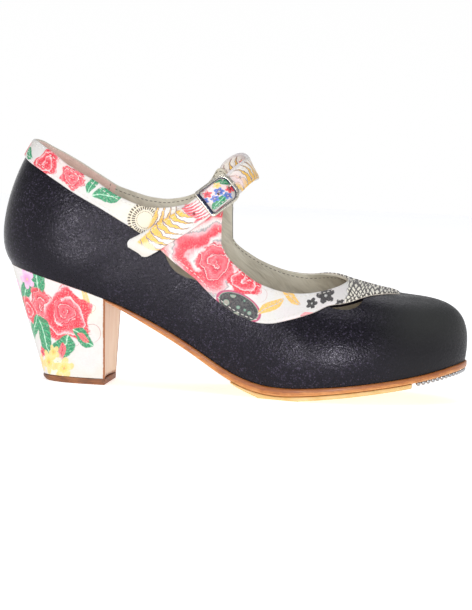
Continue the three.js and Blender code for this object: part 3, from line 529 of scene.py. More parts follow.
def band():
    reach = EDGE_STEPS[-1]
    middle = 16
    shares = []
    offsets = []
    lift = BAND_BASE + BAND_THICKNESS * (0.35 + 0.65 * np.sqrt(1 - (1 - EDGE_STEPS / reach) ** 2))
    for i in range(COLUMNS):
        size = max(band_length[i], 2.4 * reach)
        start = EDGE_STEPS / size
        if past_throat[i]:
            rest = np.linspace(start[-1], 1, middle + len(EDGE_STEPS))[1:]
            shares.append(np.concatenate([start, rest]))
            offsets.append(np.concatenate([lift, np.full(len(rest), BAND_FACE)]))
        else:
            rest = np.linspace(start[-1], 1 - start[-1], middle + 1)[1:]
            shares.append(np.concatenate([start, rest, 1 - start[::-1][1:]]))
            offsets.append(np.concatenate([lift, np.full(len(rest), BAND_FACE), lift[::-1][1:]]))
    shares = np.array(shares)
    offsets = np.array(offsets)
    over = band_at(shares, offsets)
    under = band_at(shares, BAND_BASE)
    steps = shares.shape[1]
    count = COLUMNS * steps
    own = np.arange(count).reshape(COLUMNS, steps)
    for i in range(COLUMNS):
        if column_inner[i] and past_throat[i]:
            own[i, -1] = own[column_row[i], -1]
    faces = clean_faces(grid_quads(own, wrap=True).tolist())
    faces += clean_faces(grid_quads(own + count, wrap=True)[:, ::-1].tolist())
    kinds = [0] * len(faces)
    for i in range(COLUMNS):
        j = (i + 1) % COLUMNS
        if own[i, 0] != own[j, 0]:
            faces.append([own[i, 0], own[i, 0] + count, own[j, 0] + count, own[j, 0]])
            kinds.append(1)
        if not (past_throat[i] and past_throat[j]):
            a, b = own[i, -1], own[j, -1]
            faces.append([b, b + count, a + count, a])
            kinds.append(1)
    return np.concatenate([over.reshape(-1, 3), under.reshape(-1, 3)]), faces, kinds


# Sole's edge line moved outward
def edge_point(station, outward):
    station = np.asarray(station, float)
    along = unit(foot_line(station + 0.01) - foot_line(station - 0.01))
    side = np.stack([along[..., 1], -along[..., 0]], axis=-1)
    return foot_line(station) + side * np.asarray(outward)[..., None]


def station_at(x):
    lo, hi = 0.0, float(TOE_STATION)
    for _ in range(40):
        middle = (lo + hi) / 2
        if foot_line(np.array(middle))[0] < x:
            lo = middle
        else:
            hi = middle
    return (lo + hi) / 2


def sole_bottom(x):
    share = np.clip((x - BREAST_AT - SEAT_GAP) / (TOE_POINT - BREAST_AT - SEAT_GAP), 0, 1)
    return seat_height(x) - SEAT_GAP - SOLE_THICKNESS * on_open(SOLE_PROFILE, share * (len(SOLE_CURVE) - 1))


def rubber_bottom(x):
    share = np.clip((x - RUBBER_BACK) / RUBBER_TAIL, 0, 1)
    thick = RUBBER_TIP + (RUBBER_THICKNESS - RUBBER_TIP) * share
    lift = np.where(x < FLAT_MIDDLE, (FLAT_BACK - x) * 0.12, (x - FLAT_FRONT) * 0.015)
    free = np.maximum(sole_bottom(x) - SEAT_GAP - thick, lift)
    return np.where(np.abs(x - FLAT_MIDDLE) < FLAT_LENGTH / 2 + SEAT_GAP, 0, np.maximum(free, 0))


# End of a plate: rungs from edge to edge, then its middle's under and upper sides
def slab_cap(row, edge, across):
    start = 2 * edge + across - 2
    rungs = [(row[k], row[(start - k) % len(row)]) for k in range(edge)]
    faces = [[*one, *two[::-1]] for one, two in zip(rungs, rungs[1:])]
    faces.append([row[k] for k in range(edge - 1, edge + across)])
    faces.append([row[(start + k) % len(row)] for k in range(across + 1)])
    return faces


# A plate with a shaped edge: each rung is a closed ring over, round the outer edge, under and back
def slab(stations, profile, low_at, high_at, back_x=None, across=8):
    rings = []
    last_open = TOE_STATION - 1e-6
    for n, station in enumerate(stations):
        sides = []
        for at in (station, LOOP - station):
            line = []
            for outward, level in profile:
                x, y = edge_point(at, outward)
                if back_x is not None and n == 0:
                    x = back_x
                line.append((x, y, float(low_at(x)) + float(high_at(x) - low_at(x)) * level))
            sides.append(np.array(line))
        left, right = sides
        if station >= last_open:
            right = left
        f = np.linspace(0, 1, across + 1)[1:-1, None]
        under = left[-1] + (right[-1] - left[-1]) * f
        over = right[0] + (left[0] - right[0]) * f
        under[:, 2] = low_at(under[:, 0])
        over[:, 2] = high_at(over[:, 0])
        rings.append(np.concatenate([left, under, right[::-1], over]))
    rings = np.array(rings)
    count = rings.shape[1]
    ids = np.arange(rings.shape[0] * count).reshape(-1, count)
    faces = grid_quads(ids.T, wrap=True).tolist() + slab_cap(ids[0], len(profile), across)
    if stations[-1] < last_open:
        faces += [face[::-1] for face in slab_cap(ids[-1], len(profile), across)]
    levels = np.array([level for _, level in profile])
    across_levels = np.concatenate([levels, np.zeros(across - 1), levels[::-1], np.ones(across - 1)])
    uv = np.stack([rings[..., 0].ravel(), np.tile(across_levels, len(rings))], axis=-1)
    return rings.reshape(-1, 3), faces, uv


# Materials
class Value:
    """A number or vector inside a shader tree, with ordinary arithmetic."""

    def __init__(self, paint, socket):
        self.paint = paint
        self.socket = socket

    def __add__(self, other):
        return self.paint.math("ADD", self, other)

    def __sub__(self, other):
        return self.paint.math("SUBTRACT", self, other)

    def __rsub__(self, other):
        return self.paint.math("SUBTRACT", other, self)

    def __mul__(self, other):
        return self.paint.math("MULTIPLY", self, other)

    __radd__ = __add__
    __rmul__ = __mul__

    def __abs__(self):
        return self.paint.math("ABSOLUTE", self)


class Paint:
    """Short ways to join shader nodes in one tree."""

    def __init__(self, tree, shader=None):
        self.tree = tree
        self.shader = shader

    def put(self, socket, value):
        if isinstance(value, Value):
            self.tree.links.new(value.socket, socket)
        elif value is not None:
            socket.default_value = value

    def node(self, kind, inputs, output=0, **settings):
        made = self.tree.nodes.new(kind)
        for key, value in settings.items():
            setattr(made, key, value)
        for key, value in inputs.items():
            self.put(made.inputs[key], value)
        return Value(self, made.outputs[output])

    def math(self, operation, *values):
        return self.node("ShaderNodeMath", dict(enumerate(values)), operation=operation)

    def fade(self, value, start, end, low=0.0, high=1.0):
        limits = {"From Min": start, "From Max": end, "To Min": low, "To Max": high}
        return self.node("ShaderNodeMapRange", {"Value": value, **limits}, interpolation_type="SMOOTHSTEP")

    def split(self, vector):
        made = self.tree.nodes.new("ShaderNodeSeparateXYZ")
        self.put(made.inputs[0], vector)
        return [Value(self, socket) for socket in made.outputs]

    def join(self, x, y, z):
        return self.node("ShaderNodeCombineXYZ", {0: x, 1: y, 2: z})

    def move(self, vector, place=(0, 0, 0), angle=0.0, size=(1, 1, 1)):
        fixed = {"Location": place, "Rotation": (0, 0, angle), "Scale": size}
        return self.node("ShaderNodeMapping", {"Vector": vector, **fixed}, vector_type="TEXTURE")

    def noise(self, vector, scale, detail=2.0, rough=0.5, warp=0.0):
        shape = {"Scale": scale, "Detail": detail, "Roughness": rough, "Distortion": warp}
        return self.node("ShaderNodeTexNoise", {"Vector": vector, **shape}, "Fac")

    def sway(self, vector, scale, reach, detail=2.0, rough=0.5):
        return (self.noise(vector, scale, detail, rough) - 0.5) * reach

    def cells(self, vector, scale, feature="F1", output="Distance"):
        return self.node("ShaderNodeTexVoronoi", {"Vector": vector, "Scale": scale}, output, feature=feature)

    def wave(self, vector, scale, warp=0.0, detail=2.0, fine=1.0):
        shape = {"Scale": scale, "Distortion": warp, "Detail": detail, "Detail Scale": fine}
        return self.node("ShaderNodeTexWave", {"Vector": vector, **shape}, "Fac")

    def colors(self, value, stops):
        made = self.tree.nodes.new("ShaderNodeValToRGB")
        elements = made.color_ramp.elements
        while len(elements) < len(stops):
            elements.new(0.5)
        for element, (at, color) in zip(elements, stops):
            element.position = at
            element.color = (*color, 1)
        self.put(made.inputs[0], value)
        return Value(self, made.outputs["Color"])

    def mix(self, amount, *colors):
        first, second = [(*color, 1) if isinstance(color, tuple) else color for color in colors]
        return self.node("ShaderNodeMix", {0: amount, 6: first, 7: second}, 2, data_type="RGBA")

    def bump(self, height, distance, strength, under=None):
        relief = {"Height": height, "Distance": distance, "Strength": strength, "Normal": under}
        return self.node("ShaderNodeBump", relief)

    def place(self):
        return self.node("ShaderNodeTexCoord", {}, "Object")

    def print_uv(self):
        return self.node("ShaderNodeUVMap", {}, uv_map="print")

    def surface(self, color, rough=None, normal=None):
        for name, value in (("Base Color", color), ("Roughness", rough), ("Normal", normal)):
            if value is not None:
                self.put(self.shader.inputs[name], value)


def material(name, roughness, paint, *choices, metallic=0.0, **extra):
    made = bpy.data.materials.new(name)
    made.use_nodes = True
    shader = made.node_tree.nodes["Principled BSDF"]
    shader.inputs["Roughness"].default_value = roughness
    shader.inputs["Metallic"].default_value = metallic
    for key, value in extra.items():
        shader.inputs[key.replace("_", " ")].default_value = value
    p = Paint(made.node_tree, shader)
    p.surface(*paint(p, *choices))
    return made


# Colours, linear
WHITE = (0.73, 0.715, 0.69)
RED = (0.82, 0.035, 0.07)
CORAL = (0.93, 0.16, 0.2)
PINK = (0.93, 0.5, 0.52)
BLUSH = (0.93, 0.76, 0.74)
GREEN = (0.01, 0.33, 0.14)
LEAF = (0.05, 0.46, 0.2)
YELLOW = (0.95, 0.62, 0.1)
PLUM = (0.2, 0.1, 0.16)
INK = (0.02, 0.018, 0.02)
BLUE = (0.07, 0.2, 0.62)
MAUVE = (0.85, 0.3, 0.62)
# Share of a full turn in one radian
TURN_SHARE = 0.5 / math.pi


# Print motifs: each is a node group that turns a place in a unit square into a shade and a mask
def motif(name, make):
    tree = bpy.data.node_groups.new(name, "ShaderNodeTree")
    tree.interface.new_socket("Place", in_out="INPUT", socket_type="NodeSocketVector")
    tree.interface.new_socket("Shade", in_out="OUTPUT", socket_type="NodeSocketFloat")
    tree.interface.new_socket("Mask", in_out="OUTPUT", socket_type="NodeSocketFloat")
    p = Paint(tree)
    shade, mask = make(p, p.node("NodeGroupInput", {}, "Place"))
    end = tree.nodes.new("NodeGroupOutput")
    p.put(end.inputs["Shade"], shade)
    p.put(end.inputs["Mask"], mask)
    return tree


def polar(p, place, wobble, scale):
    x, y = p.split(place)[:2]
    x = x + p.sway(place, scale, wobble, 3.0, 0.6)
    y = y + p.sway(p.move(place, (4.3, 2.1, 1.7)), scale, wobble, 3.0, 0.6)
    return p.math("SQRT", x * x + y * y), p.math("ARCTAN2", y, x)


def petals(p, place):
    r, turn = polar(p, place, 0.55, 1.9)
    coil = r * 2.4 + turn * TURN_SHARE + p.math("SINE", turn * 3.0 + r * 4.0) * 0.16
    edge = p.math("SINE", turn * 5.0 + 1.0) * 0.09 + 0.86
    return p.math("FRACT", coil + 2.0), p.fade(edge - r, -0.03, 0.05)


def leaf(p, place):
    x, y = p.split(place)[:2]
    y = y + p.math("SINE", x * 2.3) * 0.16 + p.sway(place, 3.0, 0.16)
    wide = (1.0 - x * x) * 0.44
    high = abs(y)
    veins = p.math("PINGPONG", x * 3.2 + high * -3.6, 0.5)
    return p.fade(veins, 0.0, 0.2, 0.35, 1.0) * p.fade(high, 0.0, 0.07), p.fade(wide - high, -0.02, 0.05)


def bloom(p, place):
    r, turn = polar(p, place, 0.25, 2.5)
    edge = abs(p.math("SINE", turn * 2.5)) * 0.36 + 0.5
    return r, p.fade(edge - r, -0.04, 0.06)


def rays(p, place):
    r, turn = polar(p, place, 0.06, 3.0)
    spokes = p.math("PINGPONG", turn * (17 / math.pi), 0.5)
    rings = p.math("PINGPONG", r * 4.0, 0.5)
    dark = p.fade(spokes, 0.16, 0.3) * p.fade(rings, 0.08, 0.2)
    return dark * p.fade(r, 0.4, 0.47), p.fade(r, 0.98, 0.9)


def strokes(p, place):
    x, y = p.split(place)[:2]
    lean = x + y * y * 0.25 + p.sway(place, 2.2, 0.24)
    part = p.math("PINGPONG", lean * 3.5, 0.5)
    wide = p.fade(y, 0.95, -0.9, 0.06, 0.47)
    return p.fade(wide - part, -0.1, 0.2), p.fade(abs(x), 1.0, 0.9) * p.fade(abs(y), 1.0, 0.86)


def pod(p, place):
    x, y = p.split(place)[:2]
    y = y * 1.8
    r = p.math("SQRT", x * x + y * y)
    spots = p.cells(p.move(place, (0.2, 0.3, 0)), 3.0)
    seeds = p.fade(spots, 0.42, 0.32) * p.fade(r, 0.74, 0.64)
    return p.math("MAXIMUM", seeds * 0.5, p.fade(r, 0.8, 0.92)), p.fade(r, 1.0, 0.95)


def curl(p, place):
    r, turn = polar(p, place, 0.1, 1.5)
    line = p.math("FRACT", r * 1.35 + turn * TURN_SHARE + 1.5)
    return r, p.fade(abs(line - 0.5), 0.055, 0.02) * (p.fade(r, 0.15, 0.3) * p.fade(r, 1.0, 0.8))


def wash(p, place):
    r = polar(p, place, 0.9, 1.6)[0]
    return r, p.fade(r, 0.95, 0.35)


MOTIFS = {made.__name__: motif("motif_" + made.__name__, made) for made in
          (petals, leaf, bloom, rays, strokes, pod, curl, wash)}
# Colours of the motifs by shade
STOPS = {
    "rose": [(0.0, (0.93, 0.8, 0.78)), (0.08, RED), (0.34, (0.72, 0.02, 0.05)), (0.62, RED), (0.82, CORAL),
             (1.0, (0.93, 0.62, 0.62))],
    "deep": [(0.0, (0.5, 0.02, 0.06)), (0.25, RED), (0.6, CORAL), (0.85, RED), (1.0, (0.94, 0.7, 0.68))],
    "swirl": [(0.0, (0.3, 0.28, 0.3)), (0.06, WHITE), (0.16, BLUSH), (0.3, PINK), (0.42, RED),
              (0.62, (0.76, 0.03, 0.06)), (0.78, CORAL), (0.92, PINK), (1.0, (0.4, 0.38, 0.4))],
    "green": [(0.0, (0.6, 0.8, 0.66)), (0.3, LEAF), (0.7, GREEN), (1.0, (0.008, 0.24, 0.1))],
    "yellow": [(0.0, (0.8, 0.24, 0.14)), (0.16, YELLOW), (0.45, (0.92, 0.7, 0.3)), (0.8, (0.9, 0.62, 0.2)),
               (1.0, (0.75, 0.42, 0.14))],
    "mauve": [(0.0, YELLOW), (0.16, MAUVE), (0.6, (0.9, 0.56, 0.76)), (1.0, MAUVE)],
    "crimson": [(0.0, (0.3, 0.01, 0.04)), (0.4, RED), (1.0, CORAL)],
    "blue": [(0.0, (0.9, 0.85, 0.3)), (0.2, (0.1, 0.1, 0.45)), (0.6, BLUE), (1.0, (0.4, 0.56, 0.86))],
    "ink": [(0.0, WHITE), (0.2, INK), (1.0, (0.05, 0.045, 0.05))],
    "coffee": [(0.0, (0.84, 0.77, 0.6)), (0.5, (0.3, 0.2, 0.11)), (1.0, (0.07, 0.045, 0.03))],
    "gold": [(0.0, (0.93, 0.88, 0.8)), (0.14, (0.36, 0.25, 0.27)), (0.42, (0.44, 0.3, 0.28)), (0.54, YELLOW),
             (1.0, (0.93, 0.52, 0.06))],
    "pod": [(0.0, (0.03, 0.03, 0.035)), (0.45, (0.2, 0.42, 0.3)), (0.6, (0.62, 0.12, 0.2)),
            (1.0, (0.5, 0.06, 0.16))],
    "line": [(0.0, (0.5, 0.2, 0.2)), (1.0, (0.6, 0.32, 0.3))],
    "pale": [(0.0, (0.93, 0.68, 0.68)), (1.0, BLUSH)],
    "cream": [(0.0, (0.93, 0.86, 0.62)), (1.0, (0.92, 0.88, 0.76))],
    "pinkline": [(0.0, (0.92, 0.8, 0.78)), (0.5, (0.9, 0.3, 0.36)), (1.0, RED)],
}


# Each stamp: motif, colours, centre in millimetres, size, turn in degrees, strength
BAND_STAMPS = [
    ("wash", "pale", (-14, 112), (18, 9), 0, 0.75),
    ("petals", "rose", (-17, 113.5), (9.5, 7.5), 20, 1.0),
    ("petals", "deep", (-1.5, 106.5), (8.5, 6), -30, 1.0),
    ("leaf", "green", (9, 104), (5.5, 6), 75, 1.0),
    ("leaf", "green", (-33, 118), (6, 5), 160, 1.0),
    ("petals", "deep", (-43, 119), (7, 5.5), 40, 1.0),
    ("leaf", "green", (17, 98.5), (8, 9), 12, 1.0),
    ("wash", "cream", (28, 90), (12, 7), 0, 0.7),
    ("rays", "coffee", (37, 87), (9.5, 9.5), 0, 1.0),
    ("bloom", "blue", (47, 97), (4.5, 4.5), 30, 0.9),
    ("strokes", "gold", (52, 86), (12, 9), -20, 0.9),
    ("petals", "deep", (68, 91), (18, 14), 60, 1.0),
    ("wash", "pale", (73, 66), (34, 30), 0, 1.0),
    ("petals", "rose", (59, 79), (15, 12), 10, 1.0),
    ("petals", "rose", (86, 76), (16, 15), 200, 1.0),
    ("petals", "swirl", (72, 67), (29, 27), 0, 1.0),
    ("petals", "deep", (75, 67), (12, 11.5), 100, 1.0),
    ("petals", "rose", (91, 59), (11, 9), 20, 1.0),
    ("pod", "pod", (87.5, 46), (13, 12), -24, 1.0),
    ("leaf", "gold", (104, 47), (8, 6), 40, 0.95),
    ("leaf", "gold", (113.5, 52.5), (7, 5), 150, 0.95),
    ("curl", "line", (98, 53), (5, 5), 0, 0.6),
    ("wash", "pale", (117, 40), (9, 4), 10, 0.8),
    ("leaf", "crimson", (123, 44), (4, 3), 20, 0.7),
    ("bloom", "ink", (131, 53.5), (5.5, 4.8), 0, 1.0),
    ("bloom", "ink", (124.5, 49.5), (3.6, 3.2), 40, 1.0),
    ("bloom", "ink", (138.5, 50), (3, 2.6), 20, 1.0),
]
HEEL_STAMPS = [
    ("wash", "pale", (-4, 48), (18, 13), 0, 1.0),
    ("wash", "pale", (9, 12), (9, 9), 0, 0.8),
    ("wash", "cream", (8, 41), (8, 12), 30, 0.9),
    ("leaf", "gold", (8, 45), (9, 3.5), 115, 0.8),
    ("curl", "line", (10.5, 28), (6.5, 6.5), 20, 0.9),
    ("curl", "line", (11, 41), (4.5, 4.5), 200, 0.8),
    ("curl", "line", (3, 22), (5, 5), 100, 0.6),
    ("leaf", "green", (-19, 51), (10, 13), 118, 1.0),
    ("leaf", "green", (-30, 46), (10, 11), 70, 1.0),
    ("bloom", "mauve", (-26, 53), (6.5, 6.5), 0, 1.0),
    ("bloom", "mauve", (-34, 35), (6, 6), 40, 0.9),
    ("petals", "deep", (-17, 39), (9.5, 12), 40, 1.0),
    ("petals", "rose", (-2.5, 36), (16, 15.5), 160, 1.0),
    ("petals", "deep", (-3.5, 37.5), (8, 7.5), 200, 1.0),
    ("leaf", "green", (-17, 23.5), (12, 15), -52, 1.0),
    ("leaf", "green", (-5.5, 17.5), (9, 15), 80, 1.0),
    ("leaf", "crimson", (-5, 16.5), (5, 5), 95, 1.0),
    ("leaf", "green", (6.5, 24.5), (7, 9), -25, 1.0),
    ("leaf", "crimson", (6.5, 24.5), (4, 4), -25, 0.9),
    ("leaf", "green", (-27, 28), (9, 10), 62, 1.0),
    ("petals", "rose", (-30, 37), (8, 8.5), 60, 1.0),
    ("wash", "cream", (-10, 8), (12, 9), 0, 1.0),
    ("bloom", "yellow", (-14.5, 10), (9, 8), 10, 1.0),
    ("bloom", "yellow", (-4, 7.5), (7.5, 6), 50, 1.0),
    ("bloom", "yellow", (-10, 15.5), (5, 4.5), 80, 0.9),
    ("bloom", "yellow", (-25, 9), (6, 6), 35, 0.9),
    ("bloom", "crimson", (-21.5, 15), (3.6, 3.6), 0, 1.0),
    ("bloom", "mauve", (-41, 48), (7, 7), 0, 0.9),
    ("leaf", "green", (-44, 34), (11, 11), 60, 1.0),
    ("petals", "rose", (-49, 21), (12, 12), 0, 1.0),
]
FAR_HEEL_STAMPS = HEEL_STAMPS[-3:] + [
    (motif, inks, (-102 - 0.95 * u, 0.93 * v + 2), size, 140 - turn, strength)
    for motif, inks, (u, v), size, turn, strength in HEEL_STAMPS[3:-3]
]
# On the strap the first number runs from its root over the instep to its end, the second across it
STRAP_STAMPS = [
    ("wash", "pale", (20, 0), (30, 8), 0, 0.7),
    ("wash", "green", (70, 1), (4, 6), 0, 0.5),
    ("wash", "pale", (76, -1), (12, 9), 0, 1.0),
    ("strokes", "gold", (14, 0.5), (14, 5.6), 180, 1.0),
    ("petals", "deep", (29, 1.5), (6, 5), 0, 0.9),
    ("strokes", "gold", (52, 0.4), (17, 5.8), 183, 1.0),
    ("wash", "pale", (64, 0), (7, 7), 0, 0.8),
    ("leaf", "green", (80, 3.4), (6, 5), 20, 1.0),
    ("leaf", "green", (70.5, -3.5), (5, 4), 160, 1.0),
    ("bloom", "crimson", (71.6, 1.2), (2.8, 2.6), 10, 1.0),
    ("bloom", "crimson", (80.6, -3.4), (2.6, 2.6), 50, 1.0),
    ("bloom", "blue", (75, 3.4), (2.7, 2.7), 0, 1.0),
    ("bloom", "blue", (76.2, -0.8), (2.9, 2.9), 40, 1.0),
    ("bloom", "blue", (80.2, 0.8), (2.5, 2.5), 70, 1.0),
    ("bloom", "yellow", (74.6, -4), (2.2, 2.2), 20, 1.0),
    ("bloom", "blue", (84, -1.6), (2.4, 2.4), 10, 1.0),
    ("bloom", "yellow", (67.6, 2.6), (2.4, 2.4), 0, 1.0),
    ("strokes", "pinkline", (91, 0), (5.6, 5.6), 78, 1.0),
    ("strokes", "gold", (110, 0), (15, 6.6), 12, 1.0),
    ("wash", "cream", (123, 2), (6, 5), 0, 0.7),
    ("curl", "line", (111.5, 1), (4, 4), 0, 0.7),
]


# How far each motif covers the leather where the print is thin
COVERAGE = {"wash": 0.3, "rays": 0.92, "pod": 0.92, "leaf": 0.66}
INK_COVERAGE = 0.94
PLAIN_COVERAGE = 0.62


# Paints: each gives colour, roughness and normal
def print_paint(p, stamps, chart_start=None, painted_edge=None):
    uv = p.print_uv()
    stain = [(0.35, (0.72, 0.67, 0.6)), (0.5, WHITE), (0.65, (0.74, 0.69, 0.685))]
    color = p.colors(p.noise(uv, 0.05, 3.0), stain)
    thin = p.fade(p.noise(uv, 1.15, 4.0, 0.65), 0.36, 0.5)
    brush = p.sway(p.move(uv, size=(0.45, 2.4, 1)), 0.6, 0.22, 3.0, 0.6)
    for kind, inks, at, size, turn, strength in stamps:
        group = p.tree.nodes.new("ShaderNodeGroup")
        group.node_tree = MOTIFS[kind]
        p.put(group.inputs["Place"], p.move(uv, (*at, 0), math.radians(turn), (*size, 1)))
        shade, mask = [Value(p, socket) for socket in group.outputs]
        cover = COVERAGE.get(kind, INK_COVERAGE if inks == "ink" else PLAIN_COVERAGE)
        amount = mask * (p.fade(thin, 0.0, 1.0, cover, 1.0) * strength)
        tone = shade if kind in ("rays", "pod") else shade + brush
        color = p.mix(amount, color, p.colors(tone, STOPS[inks]))
        if kind == "strokes":
            color = p.mix(p.fade(shade, 0.02, 0.25) * p.fade(shade, 0.55, 0.3) * mask, color, PLUM)
    if chart_start is not None:
        lines = p.wave(p.move(uv, angle=0.7), 0.2, 9.0, 3.0, 0.9)
        cross = p.wave(p.move(uv, angle=-0.5), 0.17, 11.0, 3.0, 0.8)
        ink = p.math("MAXIMUM", p.fade(lines, 0.62, 0.78), p.fade(cross, 0.68, 0.82))
        where = p.fade(p.split(uv)[0] + p.sway(uv, 0.3, 6.0), chart_start, chart_start + 2.0)
        color = p.mix(where, color, p.mix(ink, (0.88, 0.84, 0.72), (0.045, 0.035, 0.03)))
    place = p.place()
    grain = p.cells(place, 1150.0, "SMOOTH_F1")
    pores = p.noise(place, 2600.0)
    color = p.mix(p.fade(grain, 0.25, 0.65) * 0.1, color, (0.55, 0.5, 0.45))
    if painted_edge is not None:
        ragged = p.split(place)[0] + p.sway(place, 500.0, 0.0007)
        color = p.mix(p.fade(ragged, painted_edge, painted_edge + 0.0003), color, (0.34, 0.115, 0.035))
    normal = p.bump(grain * 0.8 + pores * 0.3, 0.00012, 0.55)
    return color, p.fade(pores, 0.3, 0.7, 0.42, 0.6), normal


def black_paint(p):
    place = p.place()
    x, z = p.split(place)[::2]
    warp = p.noise(place, 140.0)
    shift = p.join(warp * 0.004, warp * -0.003, warp * 0.004)
    moved = p.node("ShaderNodeVectorMath", {0: place, 1: shift}, operation="ADD")
    pebble = p.cells(moved, 880.0, "SMOOTH_F1")
    fine = p.noise(place, 2300.0, 3.0, 0.6)
    glint, spread = p.split(p.cells(place, 1900.0, "F1", "Color"))[:2]
    toe = p.fade(x, 0.148, 0.182)
    tone = p.noise(place, 22.0, 3.0)
    # painted glints: a few grain cells get a lighter lavender base colour that stands in for sparkle
    pearl_and_painted_glints = p.colors(glint + (tone - 0.5) * 0.5, [
        (0.0, (0.003, 0.003, 0.004)), (0.6, (0.006, 0.0055, 0.008)), (0.9, (0.011, 0.0095, 0.015)),
        (1.0, (0.045, 0.037, 0.06))])
    matt_tone_and_sheen = p.colors(tone, [(0.3, (0.007, 0.0075, 0.007)), (0.7, (0.012, 0.0125, 0.011))])
    # painted sheen: the matt toe is made lighter grey-green from 26 to 46 mm up, where overhead light would
    # reflect
    matt_tone_and_sheen = p.mix(p.fade(z, 0.026, 0.046) * 0.7, matt_tone_and_sheen, (0.045, 0.047, 0.043))
    rough = p.fade(fine + (spread - 0.5) * 0.6, 0.25, 0.75, 0.16, 0.38) + toe * 0.2
    soft = p.bump(p.noise(place, 55.0, 3.0), 0.001, 0.3)
    return p.mix(toe * 0.85, pearl_and_painted_glints, matt_tone_and_sheen), rough, p.bump(pebble + fine * 0.4, 0.00015, 0.75, soft)


def lining_paint(p):
    place = p.place()
    x, y, z = p.split(place)
    along = x * 0.75 - z * 0.66
    across = x * 0.66 + z * 0.75
    folds = p.noise(p.join(along * 0.28, y * 0.28, across * 1.3), 190.0, 3.0, 0.6, 0.5)
    fine = p.noise(place, 1500.0, 3.0)
    hide = [(0.25, (0.56, 0.52, 0.41)), (0.55, (0.7, 0.66, 0.54)), (0.8, (0.8, 0.76, 0.64))]
    color = p.colors(p.noise(place, 30.0, 3.0), hide)
    # painted shade: the lining is darker in the troughs of its folds
    color = p.mix(p.fade(folds, 0.52, 0.34) * 0.4, color, (0.4, 0.37, 0.28))
    return color, p.fade(fine, 0.3, 0.7, 0.4, 0.62), p.bump(fine, 0.00008, 0.4, p.bump(folds, 0.0014, 0.55))


def suede_paint(p, dark, light):
    place = p.place()
    nap = p.noise(place, 1900.0, 4.0, 0.7)
    brushed = p.noise(place, 90.0, 4.0, 0.6, 0.6)
    color = p.colors(nap * 0.55 + brushed * 0.45, [(0.3, dark), (0.7, light)])
    return color, p.fade(brushed, 0.3, 0.7, 0.82, 0.96), p.bump(nap, 0.0002, 0.6)


def sole_paint(p):
    place = p.place()
    grain = p.noise(p.move(place, size=(3.0, 3.0, 0.5)), 420.0, 4.0, 0.6)
    blot = p.noise(place, 95.0, 4.0, 0.65)
    hide = [(0.32, (0.3, 0.08, 0.015)), (0.5, (0.5, 0.17, 0.035)), (0.66, (0.66, 0.28, 0.08))]
    color = p.colors(grain * 0.5 + blot * 0.5, hide)
    level = p.split(p.print_uv())[1]
    ragged = level + p.sway(place, 330.0, 0.5, 4.0, 0.7)
    color = p.mix(p.fade(ragged, 0.42, 0.62) * p.fade(level, 0.985, 0.94) * 0.6, color, (0.2, 0.045, 0.01))
    color = p.mix(p.fade(ragged, 0.3, 0.1) * 0.5, color, (0.78, 0.4, 0.15))
    return color, p.fade(blot, 0.3, 0.7, 0.36, 0.55), p.bump(grain, 0.0002, 0.5)


def rubber_paint(p):
    place = p.place()
    fine = p.noise(place, 1400.0)
    honey = [(0.3, (0.7, 0.42, 0.15)), (0.6, (0.78, 0.51, 0.22)), (0.8, (0.84, 0.6, 0.3))]
    normal = p.bump(fine + p.cells(place, 700.0) * 0.6, 0.0001, 0.4)
    return p.colors(p.noise(place, 130.0, 3.0), honey), p.fade(fine, 0.3, 0.7, 0.36, 0.52), normal


def wood_paint(p):
    place = p.place()
    x, y, z = p.split(place)
    fibre = p.noise(p.move(place, size=(1.0, 1.0, 14.0)), 900.0, 3.0, 0.6)
    bands = p.noise(p.move(place, size=(1.0, 1.0, 9.0)), 230.0, 3.0, 0.6, 0.5)
    timber = [(0.3, (0.66, 0.48, 0.32)), (0.5, (0.82, 0.68, 0.52)), (0.7, (0.9, 0.82, 0.69))]
    wander = p.sway(place, 260.0, 0.001)
    half_width = p.math("MULTIPLY_ADD", z, 0.209, 0.017)
    seat = p.math("MULTIPLY_ADD", x, -0.72, 0.0585)
    low = p.fade(z + (bands - 0.5) * 0.004, 0.0046, 0.0032)
    rim = p.fade(abs(y + 0.0006) + wander - half_width, -0.0013, -0.0007)
    roof = p.fade(z - seat + wander, -0.0024, -0.0014)
    stain = p.math("MAXIMUM", p.math("MAXIMUM", low, rim), roof)
    color = p.mix(stain * 0.85, p.colors(fibre * 0.45 + bands * 0.55, timber), (0.36, 0.13, 0.035))
    return color, p.fade(fibre, 0.3, 0.7, 0.42, 0.58), p.bump(fibre, 0.00012, 0.5)


def lift_paint(p):
    place = p.place()
    layers = p.noise(p.move(place, size=(4.0, 4.0, 0.4)), 600.0, 3.0, 0.6)
    blot = p.noise(place, 200.0, 3.0)
    hide = [(0.35, (0.1, 0.035, 0.015)), (0.52, (0.24, 0.085, 0.03)), (0.7, (0.36, 0.15, 0.06))]
    color = p.colors(layers * 0.55 + blot * 0.45, hide)
    return color, p.fade(blot, 0.3, 0.7, 0.5, 0.72), p.bump(layers, 0.0003, 0.6)


def metal_paint(p, color, roughness):
    place = p.place()
    worn = p.noise(place, 420.0, 4.0, 0.6)
    fine = p.noise(p.move(place, angle=0.8, size=(8.0, 1.0, 1.0)), 2600.0)
    dull = tuple(channel * 0.72 for channel in color)
    shine = p.fade(fine, 0.3, 0.7, roughness * 0.75, roughness * 1.4)
    return p.colors(worn, [(0.3, dull), (0.55, color), (0.8, color)]), shine, p.bump(worn, 0.00006, 0.35)


def thread_paint(p, dark, light):
    twist = p.wave(p.move(p.place(), angle=0.6), 900.0)
    color = p.colors(twist, [(0.2, dark), (0.8, light)])
    return color, p.fade(twist, 0.0, 1.0, 0.5, 0.7), p.bump(twist, 0.00008, 0.5)


